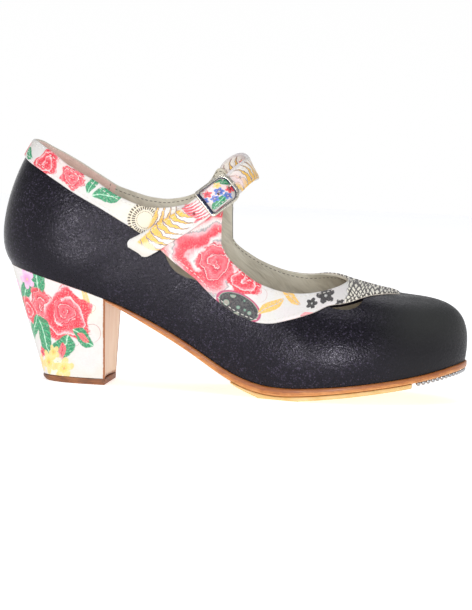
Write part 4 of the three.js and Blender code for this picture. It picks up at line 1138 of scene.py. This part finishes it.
def edge_paint(p, dark, light):
    fibre = p.noise(p.place(), 1300.0, 4.0, 0.65)
    color = p.colors(fibre, [(0.35, dark), (0.65, light)])
    return color, p.fade(fibre, 0.3, 0.7, 0.6, 0.85), p.bump(fibre, 0.00015, 0.5)


def floor_paint(p):
    return [p.colors(p.noise(p.place(), 3.0), [(0.3, (0.93, 0.93, 0.93)), (0.7, (0.96, 0.96, 0.96))])]


PRINT_GLOSS = {"Coat_Weight": 0.18, "Coat_Roughness": 0.35, "Specular_IOR_Level": 0.4}
NAP = {"Sheen_Weight": 0.35, "Sheen_Roughness": 0.5}
CHART_START = 140.0
PAINTED_EDGE = (BREAST_AT - 1.0) / 1000
PEARL_GLOSS = {"Specular_Tint": (0.9, 0.85, 1, 1), "Specular_IOR_Level": 0.25}
SOFT_COAT = {"Coat_Weight": 0.1, "Coat_Roughness": 0.3}
black_leather = material("black_leather", 0.24, black_paint, **PEARL_GLOSS)
lining_leather = material("lining_leather", 0.5, lining_paint, Coat_Weight=0.1, Coat_Roughness=0.4)
print_leather = material("print_leather", 0.5, print_paint, BAND_STAMPS, CHART_START, **PRINT_GLOSS)
strap_leather = material("strap_print_leather", 0.5, print_paint, STRAP_STAMPS, **PRINT_GLOSS)
cover_print, far_cover_print = [
    material(name, 0.5, print_paint, stamps, None, PAINTED_EDGE, **PRINT_GLOSS)
    for name, stamps in (("cover_print", HEEL_STAMPS), ("far_cover_print", FAR_HEEL_STAMPS))]
print_edge = material("print_edge", 0.7, edge_paint, (0.5, 0.42, 0.34), (0.8, 0.74, 0.66))
cover_edge = material("cover_edge", 0.7, edge_paint, (0.25, 0.08, 0.025), (0.5, 0.2, 0.07))
sole_leather = material("sole_leather", 0.45, sole_paint, Coat_Weight=0.25, Coat_Roughness=0.25)
honey_rubber = material("honey_rubber", 0.42, rubber_paint, **SOFT_COAT, Subsurface_Weight=0.1)
heel_wood = material("heel_wood", 0.5, wood_paint, Coat_Weight=0.12, Coat_Roughness=0.3)
lift_leather = material("lift_leather", 0.6, lift_paint)
# the third metal, dark navy, is painted shade and painted reflection for the buckle's inner wall and end bar
nickel, nail_steel, painted_shade_metal = [
    material(name, roughness, metal_paint, color, roughness, metallic=1.0) for name, color, roughness in (
        ("nickel", (0.76, 0.71, 0.6), 0.25), ("nail_steel", (0.42, 0.43, 0.44), 0.26),
        ("nickel_painted_shade_and_reflection", (0.09, 0.1, 0.16), 0.25))]
sock_suede = material("sock_suede", 0.9, suede_paint, (0.36, 0.24, 0.16), (0.55, 0.4, 0.29), **NAP)
counter_suede = material("counter_suede", 0.9, suede_paint, (0.62, 0.42, 0.35), (0.85, 0.62, 0.54), **NAP)
thread, lining_thread = [
    material(name, 0.6, thread_paint, dark, light, Sheen_Weight=0.3) for name, dark, light in (
        ("thread", (0.55, 0.52, 0.46), (0.85, 0.82, 0.76)),
        ("lining_thread", (0.1, 0.09, 0.07), (0.26, 0.24, 0.19)))]
floor_white = material("floor_paint", 0.85, floor_paint, Emission_Color=(1, 1, 1, 1), Emission_Strength=0.6)

points, faces, kinds = shell()
upper_shell = build("upper_shell", points, faces, [black_leather, lining_leather], kinds)
points, faces, kinds = band()
collar_band = build("collar_band", points, faces, [print_leather, print_edge], kinds, uv=print_place(points))

# Profiles of the soles' edges: distance outward, share of the thickness
sole_profile = [(-1.2, 1.0), (0.15, 1.0), (0.55, 0.97), (0.85, 0.88), (0.95, 0.75), (0.95, 0.4), (0.9, 0.2),
                (0.7, 0.08), (0.3, 0.01), (-1.2, 0.0)]
sole_back = BREAST_AT + SEAT_GAP
toe_bend = 10.5
stations = np.concatenate([np.linspace(station_at(sole_back), toe_bend, 60)[:-1],
                           np.linspace(toe_bend, TOE_STATION, 40)])
points, faces, uv = slab(stations, sole_profile, sole_bottom, lambda x: seat_height(x) - SEAT_GAP, sole_back)
outsole = build("leather_sole", points, clean_faces(faces), [sole_leather], uv=uv)

rubber_profile = [(-1.2, 1.0), (0.5, 1.0), (0.8, 0.85), (0.85, 0.5), (0.8, 0.2), (0.5, 0.0), (-1.2, 0.0)]
stations = np.linspace(station_at(RUBBER_BACK), station_at(RUBBER_FRONT), 70)
points, faces, _ = slab(stations, rubber_profile, rubber_bottom, lambda x: sole_bottom(x) - SEAT_GAP)
half_sole = build("rubber_half_sole", points, faces, [honey_rubber])

stations = np.linspace(0.02, TOE_STATION, 90)
sock_profile = [(-3.2, 1.0), (-2.6, 0.8), (-2.6, 0.0)]
points, faces, _ = slab(stations, sock_profile, seat_height, lambda x: seat_height(x) + INSOLE_THICKNESS)
sock = build("sock", points, clean_faces(faces), [sock_suede])


# Values at places along a line
def along_line(at, walk, values):
    return np.stack([np.interp(at, walk, values[:, c]) for c in range(3)], axis=-1)


def walked_line(line):
    return np.concatenate([[0], np.cumsum(np.linalg.norm(np.diff(line, axis=0), axis=1))])


# Rows of stitches: each stitch is a small rounded thread that dips at both ends
STITCH_SIDES = 6


def stitch_row(line, normals, pitch=2.5, length=1.75, width=0.42):
    walk = walked_line(line)
    count = max(int(walk[-1] / pitch), 1)
    centre_at = (np.arange(count) + 0.5) * walk[-1] / count
    spread = np.array([-0.5, -0.4, -0.2, 0.0, 0.2, 0.4, 0.5])
    thick = np.array([0.25, 0.75, 0.98, 1.0, 0.98, 0.75, 0.25]) * width / 2
    dip = np.array([-0.3, -0.05, 0.1, 0.14, 0.1, -0.05, -0.3]) * width
    around = np.arange(STITCH_SIDES) * 2 * math.pi / STITCH_SIDES
    at = centre_at[:, None] + spread[None, :] * length
    normal = unit(along_line(at, walk, normals))
    along = unit(along_line(at + 0.05, walk, line) - along_line(at - 0.05, walk, line) + 1e-9)
    across = unit(np.cross(normal, along))
    centre = along_line(at, walk, line) + normal * dip[:, None]
    wide = (np.cos(around) * thick[:, None])[..., None]
    high = (np.sin(around) * thick[:, None] * 0.8)[..., None]
    points = centre[:, :, None] + across[:, :, None] * wide + normal[:, :, None] * high
    return join_parts([skin(stitch, -1) for stitch in points])


def join_parts(parts):
    points, faces, shift = [], [], 0
    for part_points, part_faces in parts:
        points.append(part_points)
        faces += [[v + shift for v in face] for face in part_faces]
        shift += len(part_points)
    return np.concatenate(points), faces


# A line on the band through columns, with its normals
def band_line(index, share, offset):
    station, turn = [places[:, 0] for places in on_band(share[index, None], index)]
    level = np.broadcast_to(offset, share.shape)[index]
    return offset_point(station, turn, level), last_normal(station, turn)


STITCH_INSET = 2.0
ring = np.concatenate([np.arange(COLUMNS), [0]])
low_share = np.minimum(STITCH_INSET / band_length, 0.45)
top_share = 1 - STITCH_INSET / band_length
open_columns = np.where(~past_throat)[0]
first_inner = open_columns[open_columns > THROAT_ROW * FINE][0]
on_inner = open_columns >= first_inner
around_top = np.concatenate([open_columns[on_inner], open_columns[~on_inner]])
points, faces = join_parts([stitch_row(*band_line(columns, share, BAND_FACE))
                            for columns, share in ((ring, low_share), (around_top, top_share))])
band_stitches = build("band_stitches", points, faces, [thread])
line, normals = band_line(around_top, top_share, skive(top_share) - UPPER_WALL)
points, faces = stitch_row(line, -normals)
lining_stitches = build("lining_stitches", points, faces, [lining_thread])


# Suede patch inside the heel, over the lining
def counter_patch():
    reach = 46
    index = np.concatenate([np.arange(COLUMNS - reach, COLUMNS), np.arange(0, reach + 1)])
    f = np.linspace(0.03, 1, 26)
    g = np.linspace(0, 0.97, 12)[1:]
    band_stations, band_turns = on_band(g, index)
    lower = turned(foot[index, None] + (low - foot)[index, None] * f, index)
    stations = np.concatenate([lower, band_stations], axis=1)
    turns = np.concatenate([low_turn[index, None] * f, band_turns], axis=1)
    n, m = stations.shape
    from_side = np.minimum(np.arange(n), np.arange(n)[::-1])
    rim = np.minimum(from_side[:, None], 2 * np.arange(m)[::-1])
    thick = 0.55 * np.clip(rim / 2, 0.15, 1)
    base = np.broadcast_to(np.concatenate([np.zeros(len(f)), skive(g)]) - UPPER_WALL, (n, m))
    inside = offset_point(stations, turns, base - thick)
    outside = offset_point(stations, turns, base - 0.02)
    ids = np.arange(n * m).reshape(n, m)
    faces = grid_quads(ids)[:, ::-1].tolist() + grid_quads(ids + n * m).tolist()
    border = list(ids[:, 0]) + list(ids[-1, 1:]) + list(ids[-2::-1, -1]) + list(ids[0, -2:0:-1])
    for a, b in zip(border, border[1:] + border[:1]):
        faces.append([b, a, a + n * m, b + n * m][::-1])
    ends = []
    for column in (2, n - 3):
        normals = -last_normal(stations[column], turns[column])
        ends.append(stitch_row(inside[column], normals, width=0.36))
    return np.concatenate([inside.reshape(-1, 3), outside.reshape(-1, 3)]), faces, ends


points, faces, ends = counter_patch()
counter = build("counter_suede_patch", points, faces, [counter_suede])
points, faces = join_parts(ends)
counter_stitches = build("counter_stitches", points, faces, [lining_thread])


# Nail heads under the toe's edge, domed and slightly uneven
def toe_nails():
    start = station_at(RUBBER_FRONT)
    line = edge_point(np.linspace(start, LOOP - start, 241), np.full(241, SOLE_WELT - NAIL_INSET))
    places = []
    walked = NAIL_PITCH / 2
    for i in range(1, len(line)):
        step = float(np.linalg.norm(line[i] - line[i - 1]))
        while walked + step >= NAIL_PITCH:
            places.append(line[i - 1] + (line[i] - line[i - 1]) * (NAIL_PITCH - walked) / step)
            walked -= NAIL_PITCH
        walked += step
    places = [spot for spot in places if spot[0] > RUBBER_FRONT + NAIL_DIAMETER]
    sides = 14
    around = np.arange(sides) * 2 * math.pi / sides
    profile = [(0.46, 0.0), (0.5, 0.12), (0.5, 0.3), (0.46, 0.5), (0.38, 0.7), (0.27, 0.86), (0.14, 0.96)]
    random = np.random.default_rng(7)
    parts = []
    for place in places:
        slope = math.atan(float(sole_bottom(place[0] + 1) - sole_bottom(place[0] - 1)) / 2)
        lean = random.uniform(-0.07, 0.07, 2)
        axis = unit(np.array([math.sin(slope) + lean[0], lean[1], -math.cos(slope)]))
        one = unit(np.cross(axis, [0, 1, 0.01]))
        two = np.cross(axis, one)
        root = np.array([place[0], place[1], float(sole_bottom(place[0])) - 0.1])
        size = NAIL_DIAMETER * random.uniform(0.96, 1.04)
        circle = np.cos(around)[:, None] * one + np.sin(around)[:, None] * two
        rings = [root + axis * drop * NAIL_HEIGHT + circle * share * size for share, drop in profile]
        points = np.concatenate(rings + [(root + axis * NAIL_HEIGHT)[None]])
        ids = np.arange(len(profile) * sides).reshape(len(profile), sides)
        faces = grid_quads(ids.T, wrap=True).tolist()
        faces.append(list(ids[0]))
        faces += [[ids[-1, (k + 1) % sides], ids[-1, k], len(points) - 1][::-1] for k in range(sides)]
        parts.append((points, faces))
    return join_parts(parts)


points, faces = toe_nails()
nails = build("toe_nail_heads", points, faces, [nail_steel])

# Heel: outlines at the seat and the tread
breast_station = station_at(BREAST_AT)
seat_width = float(foot_line(LOOP - breast_station)[1] - foot_line(breast_station)[1])


def heel_point(station, inset, rise, base):
    station, inset = paired(station, inset)
    station, rise = paired(station, rise)
    inset = np.broadcast_to(inset, station.shape)
    at = np.mod(station, LOOP)
    full = edge_point(at, 0 * inset)
    moved = edge_point(at, -inset)
    edge = np.abs(np.abs(station) - breast_station) < 1e-6
    seat_x = np.where(edge, BREAST_AT, np.minimum(moved[..., 0], BREAST_AT))
    narrowing = TREAD_LENGTH / (BREAST_AT + HEEL_REACH)
    shift = np.where(edge, 0, moved[..., 0] - full[..., 0])
    tread_x = np.minimum(BREAST_AT - (BREAST_AT - full[..., 0]) * narrowing + shift, BREAST_AT)
    tread_y = full[..., 1] * TREAD_WIDTH / seat_width + (moved[..., 1] - full[..., 1])
    high = seat_height(seat_x) - SEAT_GAP
    return np.stack([tread_x + (seat_x - tread_x) * rise, tread_y + (moved[..., 1] - tread_y) * rise,
                     base + (high - base) * rise], axis=-1)


heel_stations = np.linspace(breast_station, -breast_station, 97)
heel_levels = np.linspace(0, 1, 25)
HEEL_BASE = LIFT_THICKNESS + SEAT_GAP


def heel_cover():
    over = heel_point(heel_stations[:, None], 0.0, heel_levels[None, :], HEEL_BASE)
    under = heel_point(heel_stations[:, None], COVER_THICKNESS, heel_levels[None, :], HEEL_BASE)
    n, m = over.shape[:2]
    ids = np.arange(n * m).reshape(n, m)
    count = n * m
    faces = grid_quads(ids)[:, ::-1].tolist() + grid_quads(ids + count).tolist()
    kinds = [0] * len(faces)
    for line, way in ((ids[:, 0], -1), (ids[:, -1], 1), (ids[0], 1), (ids[-1], -1)):
        for a, b in zip(line, line[1:]):
            faces.append([a, b, b + count, a + count][::way])
            kinds.append(1)
    return np.concatenate([over.reshape(-1, 3), under.reshape(-1, 3)]), faces, kinds


points, faces, kinds = heel_cover()
# the print on the inner side is a material of its own
kinds = [2 if kind == 0 and points[face, 1].mean() > 0 else kind for face, kind in zip(faces, kinds)]
heel_print = build("heel_print_cover", points, faces, [cover_print, cover_edge, far_cover_print], kinds,
                   uv=heel_print_place(points))


def heel_wood_block():
    inset = COVER_THICKNESS + 0.02
    walls = heel_point(heel_stations[:, None], inset, heel_levels[None, :], HEEL_BASE)
    f = np.linspace(0, 1, 25)[1:-1]
    start, end = walls[-1], walls[0]
    front = start[None] + (end - start)[None] * f[:, None, None]
    front[..., 0] -= BREAST_HOLLOW * 4 * (f * (1 - f))[:, None]
    front[:, -1, 2] = seat_height(front[:, -1, 0]) - SEAT_GAP
    ring = np.concatenate([walls, front])
    n, m = ring.shape[:2]
    ids = np.arange(n * m).reshape(n, m)
    faces = grid_quads(ids, wrap=True)[:, ::-1].tolist()
    points = ring.reshape(-1, 3)
    # ends: rungs from one side of the wall to the other
    half = len(heel_stations) // 2
    for level, flip in ((0, True), (m - 1, False)):
        column = ids[:, level]
        for i in range(1, half):
            quad = [column[i], column[i + 1], column[2 * half - i - 1], column[2 * half - i]]
            faces.append(quad if flip else quad[::-1])
        breast = list(column[2 * half:]) + [column[0]]
        fan = [column[1], column[2 * half - 1]] + breast
        faces.append(fan if not flip else fan[::-1])
    return points, clean_faces(faces)


points, faces = heel_wood_block()
wood_block = build("wood_heel", points, faces, [heel_wood])


def heel_lift():
    wall = heel_point(heel_stations, 0.0, 0.0, 0.0)
    levels = [(0.0, 2.5), (0.0, 1.0), (0.25, 0.35), (LIFT_BEVEL, 0.0), (LIFT_THICKNESS - 0.15, 0.0),
              (LIFT_THICKNESS, 0.15)]
    rings = []
    centre = wall.mean(axis=0)
    back = np.clip((BREAST_AT - wall[:, 0]) / TREAD_LENGTH * 2 - 1, 0, 1)
    for z, cut in levels:
        ring = wall.copy()
        if z < LIFT_BEVEL:
            ring[:, 0] += LIFT_BEVEL * back * (1 - z / LIFT_BEVEL)
        inward = unit((centre - ring)[:, :2])
        ring[:, :2] += inward * 0.2 * cut
        ring[:, 2] = z
        rings.append(ring)
    return skin(np.array(rings), -1)


points, faces = heel_lift()
top_lift = build("top_lift", points, faces, [lift_leather])


# Strap line and the directions along it
def strap_places():
    spots, normals = [], []
    for side, at, turn, lift in STRAP_ROWS:
        station = at if side > 0 else LOOP - at
        level = 2 * SEAT_GAP + BAND_THICKNESS + BAR_RISE * lift
        spots.append(offset_point(np.array(station), np.array(turn), np.array(level)))
        normal = last_normal(np.array(station), np.array(turn))
        if turn == 1:
            normal = unit(normal + last_normal(np.array(LOOP - station), np.array(1.0)))
        normals.append(normal)
    return np.array(spots), np.array(normals)


strap_spots, strap_normals = strap_places()
STRAP_SAMPLES = 160


def smooth_line(knots, samples):
    padded = np.concatenate([[2 * knots[0] - knots[1]], knots, [2 * knots[-1] - knots[-2]]])
    line = []
    for i in range(len(knots) - 1):
        p0, p1, p2, p3 = padded[i:i + 4]
        d0, d1, d2 = [np.sum((b - a) ** 2) ** 0.25 for a, b in ((p0, p1), (p1, p2), (p2, p3))]
        t1 = ((p1 - p0) / d0 - (p2 - p0) / (d0 + d1) + (p2 - p1) / d1) * d1
        t2 = ((p2 - p1) / d1 - (p3 - p1) / (d1 + d2) + (p3 - p2) / d2) * d1
        f = np.arange(samples)[:, None] / samples
        line.append(hermite(p1, p2, t1, t2, f))
    return np.concatenate(line + [knots[-1:]])


strap_line = smooth_line(strap_spots, STRAP_SAMPLES)
strap_walk = walked_line(strap_line)
strap_length = float(strap_walk[-1])
row_at = np.arange(len(strap_line)) / STRAP_SAMPLES
line_normals = along_line(row_at, np.arange(len(strap_normals)), strap_normals)
line_tangents = unit(np.gradient(strap_line, axis=0))


def strap_frame(share):
    share = np.clip(np.asarray(share, float), 0, 1)
    centre, along, out = [along_line(share * strap_length, strap_walk, values)
                          for values in (strap_line, line_tangents, line_normals)]
    along = unit(along)
    out = unit(out - along * np.sum(out * along, axis=-1, keepdims=True))
    return centre, along, out, np.cross(out, along)


away = np.linalg.norm(strap_line - strap_spots[BAR_ROW], axis=1)
bar_share = float(strap_walk[np.argmin(away)] / strap_length)


def strap_section():
    half = STRAP_WIDTH / 2
    thick = STRAP_THICKNESS
    top_face = [(0.75, thick), (0.4, thick - 0.06), (0.12, thick - 0.25), (0, thick - 0.55)]
    groove = [(0, thick / 2 + 0.12), (0.12, thick / 2), (0, thick / 2 - 0.12)]
    low_face = [(0, 0.35), (0.1, 0.12), (0.4, 0.0)]
    left = [(x - half, z) for x, z in top_face + groove + low_face]
    under = [(x, 0.0) for x in np.linspace(-half + 1.2, half - 1.2, 9)]
    right = [(-x, z) for x, z in left[::-1]]
    over = [(x, thick) for x in np.linspace(half - 1.5, -half + 1.5, 13)]
    return np.array(left + under + right + over)


def strap_band():
    section = strap_section()
    steps = 300
    corner = 3.2
    rings = []
    for s in range(steps + 1):
        slant = STRAP_SLANT * (0.5 + section[:, 0] / STRAP_WIDTH) / strap_length
        share = s / steps * (1 - slant)
        centre, _, out, across = strap_frame(share)
        width = section[:, 0].copy()
        end = (1 - s / steps) * strap_length
        if end < corner:
            pull = corner - math.sqrt(max(corner ** 2 - (corner - end) ** 2, 0))
            width = np.clip(width, -STRAP_WIDTH / 2 + pull, STRAP_WIDTH / 2 - pull * 0.45)
        rings.append(centre + across * width[:, None] + out * section[:, 1][:, None])
    along_uv = np.repeat(np.linspace(0, strap_length, steps + 1), len(section))
    uv = np.stack([along_uv, np.tile(section[:, 0], steps + 1)], axis=-1)
    return *skin(np.array(rings)), uv


points, faces, uv = strap_band()
strap = build("printed_strap", points, faces, [strap_leather], uv=uv)

# Buckle's own frame
end_reach = BUCKLE_LENGTH / 2 - BUCKLE_END_BAR
left_end = strap_frame(bar_share + end_reach / strap_length)
right_end = strap_frame(bar_share - end_reach / strap_length)
rim_level = STRAP_THICKNESS + RIM_RISE
left_seat = left_end[0] + left_end[2] * rim_level
right_seat = right_end[0] + right_end[2] * rim_level
buckle_x = unit(right_seat - left_seat)
buckle_z = left_end[2] + right_end[2]
buckle_z = unit(buckle_z - buckle_x * np.dot(buckle_z, buckle_x))
buckle_y = np.cross(buckle_z, buckle_x)
buckle_at = (left_seat + right_seat) / 2


def from_buckle(points):
    points = np.asarray(points, float)
    return buckle_at + points[..., :1] * buckle_x + points[..., 1:2] * buckle_y + points[..., 2:3] * buckle_z


def outline(half_length, half_width, corner, steps):
    small = corner / 5
    line = [(-half_length + small, -half_width)]
    for start, side_way in ((-math.pi / 2, -1), (0.0, 1)):
        for k in range(steps + 1):
            a = start + math.pi / 2 * k / steps
            line.append((half_length - corner + corner * math.cos(a),
                         side_way * (half_width - corner) + corner * math.sin(a)))
    line += [(-half_length + small, half_width), (-half_length, half_width - small),
             (-half_length, -half_width + small)]
    return np.array(line)


def buckle_frame_mesh():
    inner_half = STRAP_WIDTH / 2 + BUCKLE_SLACK
    outer_half = inner_half + BUCKLE_RIM
    outer = outline(BUCKLE_LENGTH / 2, outer_half, BUCKLE_CORNER + BUCKLE_RIM, 14)
    inner = outline(BUCKLE_LENGTH / 2 - BUCKLE_END_BAR, inner_half, BUCKLE_CORNER, 14)
    high = BUCKLE_HEIGHT
    section = [(0, 0.25), (0, high - 0.45), (0.07, high - 0.2), (0.22, high - 0.04), (0.4, high), (0.6, high),
               (0.78, high - 0.04), (0.93, high - 0.2), (1, high - 0.45), (1, 0.25), (0.9, 0), (0.1, 0)]
    rings = np.array([[np.append(o + (i - o) * f, z) for f, z in section] for o, i in zip(outer, inner)])
    n, m = rings.shape[:2]
    ids = np.arange(n * m).reshape(n, m)
    faces, kinds = [], []
    for r in range(n):
        for k in range(m):
            a, b = (r + 1) % n, (k + 1) % m
            faces.append([ids[r, k], ids[a, k], ids[a, b], ids[r, b]])
            # painted shade and painted reflection: the inner wall and the end bar's upper side get a dark
            # navy metal
            kinds.append(int(k in (6, 7, 8) or (k in (3, 4, 5) and r == n - 2)))
    return rings.reshape(-1, 3), faces, kinds


buckle_points, buckle_faces, buckle_kinds = buckle_frame_mesh()


# Tube along a line with an oval section
def tube(line, wide, high, normal, sides=14):
    line = np.asarray(line, float)
    wide = np.broadcast_to(wide, len(line))
    high = np.broadcast_to(high, len(line))
    along = unit(np.gradient(line, axis=0))
    across = unit(np.cross(along, normal))
    up_way = np.cross(across, along)
    around = np.arange(sides) * 2 * math.pi / sides
    rings = (line[:, None] + across[:, None] * (np.cos(around) * wide[:, None])[..., None]
             + up_way[:, None] * (np.sin(around) * high[:, None])[..., None])
    return skin(rings, -1)


# Bar under the strap with its two ears, and the prong that lies over the rounded end
bar_seat = strap_frame(bar_share)
bar_point = bar_seat[0] - bar_seat[2] * (SEAT_GAP + BAR_DIAMETER / 2)
bar_x = float(np.dot(bar_point - buckle_at, buckle_x))
bar_z = float(np.dot(bar_point - buckle_at, buckle_z))
outer_half = STRAP_WIDTH / 2 + BUCKLE_SLACK + BUCKLE_RIM
reach = outer_half - BUCKLE_RIM / 2
bend = np.linspace(0, math.pi / 2, 7)
hook = [(bar_x, reach - 0.6 + 0.6 * math.sin(a), bar_z + 0.6 - 0.6 * math.cos(a)) for a in bend]
ear_top = [(bar_x, reach, z) for z in np.linspace(bar_z + 0.8, BUCKLE_HEIGHT * 0.6, 5)]
half_bar = [(bar_x, y, bar_z) for y in np.linspace(0, reach - 0.8, 6)] + hook + ear_top
full_bar = [(x, -y, z) for x, y, z in half_bar[:0:-1]] + half_bar
points, faces = tube(full_bar, BAR_DIAMETER / 2, BAR_DIAMETER / 2, np.array([1.0, 0, 0]))
bar_part = (from_buckle(points), faces)
prong_at = BUCKLE_LENGTH / 2 - BUCKLE_END_BAR - PRONG_WIDTH
pin_top = BUCKLE_HEIGHT + 0.45
KNEE = 0.9
pin = [(prong_at, 0, z) for z in np.linspace(-STRAP_THICKNESS, pin_top - 1.1, 5)]
knee_turns = np.linspace(0.1, math.pi / 2, 7)
knee_at = prong_at + KNEE
knee = [(knee_at - KNEE * math.cos(a), 0, pin_top - KNEE + KNEE * math.sin(a)) for a in knee_turns]
arm_places = np.linspace(prong_at + 1.2, BUCKLE_LENGTH / 2 + 0.35, 7)
arm = [(x, 0, pin_top - 0.12 * (x - knee_at) ** 2 / 6) for x in arm_places]
prong_line = np.array(pin + knee + arm)
taper = np.concatenate([np.full(len(pin) + len(knee), 1.0), np.linspace(1, 0.7, len(arm) - 1), [0.35]])
points, faces = tube(prong_line, PRONG_WIDTH / 2 * taper, PRONG_HEIGHT / 2 * taper, np.array([-0.6, 0, 1.0]))
prong = build("buckle_prong_pin", from_buckle(points), faces, [nickel])
points, faces = join_parts([(from_buckle(buckle_points), buckle_faces), bar_part])
buckle = build("buckle_rim", points, faces, [nickel, painted_shade_metal], buckle_kinds + [0] * len(bar_part[1]))


# Holes through the strap, stitches along its edges
def cut_holes(piece, cutters):
    bpy.context.view_layer.update()
    for cutter in cutters:
        step = piece.modifiers.new("hole", "BOOLEAN")
        step.operation = "DIFFERENCE"
        step.solver = "EXACT"
        step.object = cutter
    seen = piece.evaluated_get(bpy.context.evaluated_depsgraph_get())
    mesh = bpy.data.meshes.new_from_object(seen)
    piece.modifiers.clear()
    old = piece.data
    piece.data = mesh
    bpy.data.meshes.remove(old)
    for cutter in cutters:
        bpy.data.objects.remove(cutter)


cutters = []
for step in (-1, 0, 1):
    centre, along, out, _ = strap_frame(bar_share + step * HOLE_PITCH / strap_length)
    points, faces = tube([centre - out * 1.5, centre + out * 3.5], STRAP_HOLE / 2, STRAP_HOLE / 2, along, 20)
    cutters.append(build("hole_cutter", points, faces, [print_edge], smooth=False))
pin_hole = PRONG_WIDTH / 2 + 0.2
points, faces = tube([(prong_at, 0, -6), (prong_at, 0, 2)], pin_hole, pin_hole, np.array([1.0, 0, 0]), 16)
cutters.append(build("hole_cutter", from_buckle(points), faces, [print_edge], smooth=False))
cut_holes(strap, cutters)
shares = np.linspace(0.004, 0.985, 260)
centre, _, out, across = strap_frame(shares)
parts = []
stitch_at = STRAP_WIDTH / 2 - 1.35
for side_way, last_share in ((-1, 0.978), (1, 0.972)):
    keep = shares < last_share
    line = centre + across * side_way * stitch_at + out * (STRAP_THICKNESS + 0.02)
    parts.append(stitch_row(line[keep], out[keep], pitch=2.1, length=1.45, width=0.34))
points, faces = join_parts(parts)
strap_stitches = build("strap_stitches", points, faces, [thread])

# Camera, as worked out from the photo: turn, height and roll in degrees, distance in metres, lens in pixels
VIEW_TURN, VIEW_HEIGHT, VIEW_ROLL = 6.0715, 4.5437, 2.5801
VIEW_DISTANCE = 1.1
LENS_PIXELS = 2106.2886
PHOTO_WIDTH = 472
SENSOR = 36


def view_axes():
    a, e, roll = math.radians(VIEW_TURN), math.radians(VIEW_HEIGHT), math.radians(VIEW_ROLL)
    back = np.array([math.sin(a) * math.cos(e), -math.cos(a) * math.cos(e), math.sin(e)])
    right = unit(np.cross(-back, [0, 0, 1]))
    up = np.cross(right, -back)
    return math.cos(roll) * right + math.sin(roll) * up, -math.sin(roll) * right + math.cos(roll) * up, back


side, up, back = view_axes()
target = np.array([0.0824762, 0, 0.0437831])
camera_data = bpy.data.cameras.new("camera")
camera = bpy.data.objects.new("camera", camera_data)
bpy.context.scene.collection.objects.link(camera)
place = target + back * VIEW_DISTANCE
camera.matrix_world = Matrix([*np.stack([side, up, back, place], axis=1).tolist(), (0, 0, 0, 1)])
camera_data.sensor_fit = "HORIZONTAL"
camera_data.sensor_width = SENSOR
camera_data.lens = SENSOR * LENS_PIXELS / PHOTO_WIDTH
camera_data.clip_end = 20
bpy.context.scene.camera = camera

# Floor and lights
FLOOR_REACH = 3000
FLOOR_DROP = 0.05
corners = [(x * FLOOR_REACH, y * FLOOR_REACH, -FLOOR_DROP) for x, y in ((-1, -1), (1, -1), (1, 1), (-1, 1))]
floor = build("floor", corners, [[0, 1, 2, 3]], [floor_white])
LIT_POINT = (0.08, 0, 0.05)


def light(name, place, size, power):
    data = bpy.data.lights.new(name, "AREA")
    data.size = size
    data.energy = power
    lamp = bpy.data.objects.new(name, data)
    bpy.context.scene.collection.objects.link(lamp)
    lamp.location = place
    direction = Vector(LIT_POINT) - Vector(place)
    lamp.rotation_euler = direction.to_track_quat("-Z", "Y").to_euler()


light("key", (0.3, -1.5, 0.2), 0.2, 6)
light("side", (-0.4, -1.4, 0.2), 0.17, 3.2)
light("high", (0.1, -0.45, 1.4), 0.6, 3.5)
light("rear", (0.15, 0.9, 1.3), 1.0, 4)
world = bpy.data.worlds.new("world")
bpy.context.scene.world = world
world.use_nodes = True
sky = Paint(world.node_tree)
height = sky.split(sky.node("ShaderNodeTexCoord", {}, "Generated"))[2]
stops = [(0.0, (1.0, 1.0, 1.0)), (0.04, (0.98, 0.98, 0.98)), (0.3, (0.4, 0.405, 0.42)),
         (1.0, (0.3, 0.31, 0.34))]
background = world.node_tree.nodes["Background"]
sky.put(background.inputs["Color"], sky.colors(sky.fade(height, 0.0, 1.0), stops))
background.inputs["Strength"].default_value = 1.0
bpy.context.scene.view_settings.view_transform = "Standard"

pairs = [
    (upper_shell, "upper", ["upper"]),
    (collar_band, "collar_overlay", ["collar_overlay"]),
    (outsole, "outsole", ["outsole"]),
    (half_sole, "half_sole", ["half_sole"]),
    (sock, "insole", ["insole"]),
    (heel_print, "heel_cover", ["heel_cover"]),
    (wood_block, "heel_block", ["heel_block"]),
    (top_lift, "heel_top_lift", ["heel_top_lift"]),
    (strap, "strap", ["strap"]),
    (buckle, "buckle", ["buckle_frame"]),
    (prong, "buckle", ["buckle_prong"]),
    (nails, "toe_nails", [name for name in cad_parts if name.startswith("toe_nail_")]),
    (band_stitches, "collar_overlay", []),
    (lining_stitches, "upper", []),
    (counter, "upper", []),
    (counter_stitches, "upper", []),
    (strap_stitches, "strap", []),
]
for piece, slot, nodes in pairs:
    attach(piece, "root")
    if nodes:
        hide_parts(*nodes)
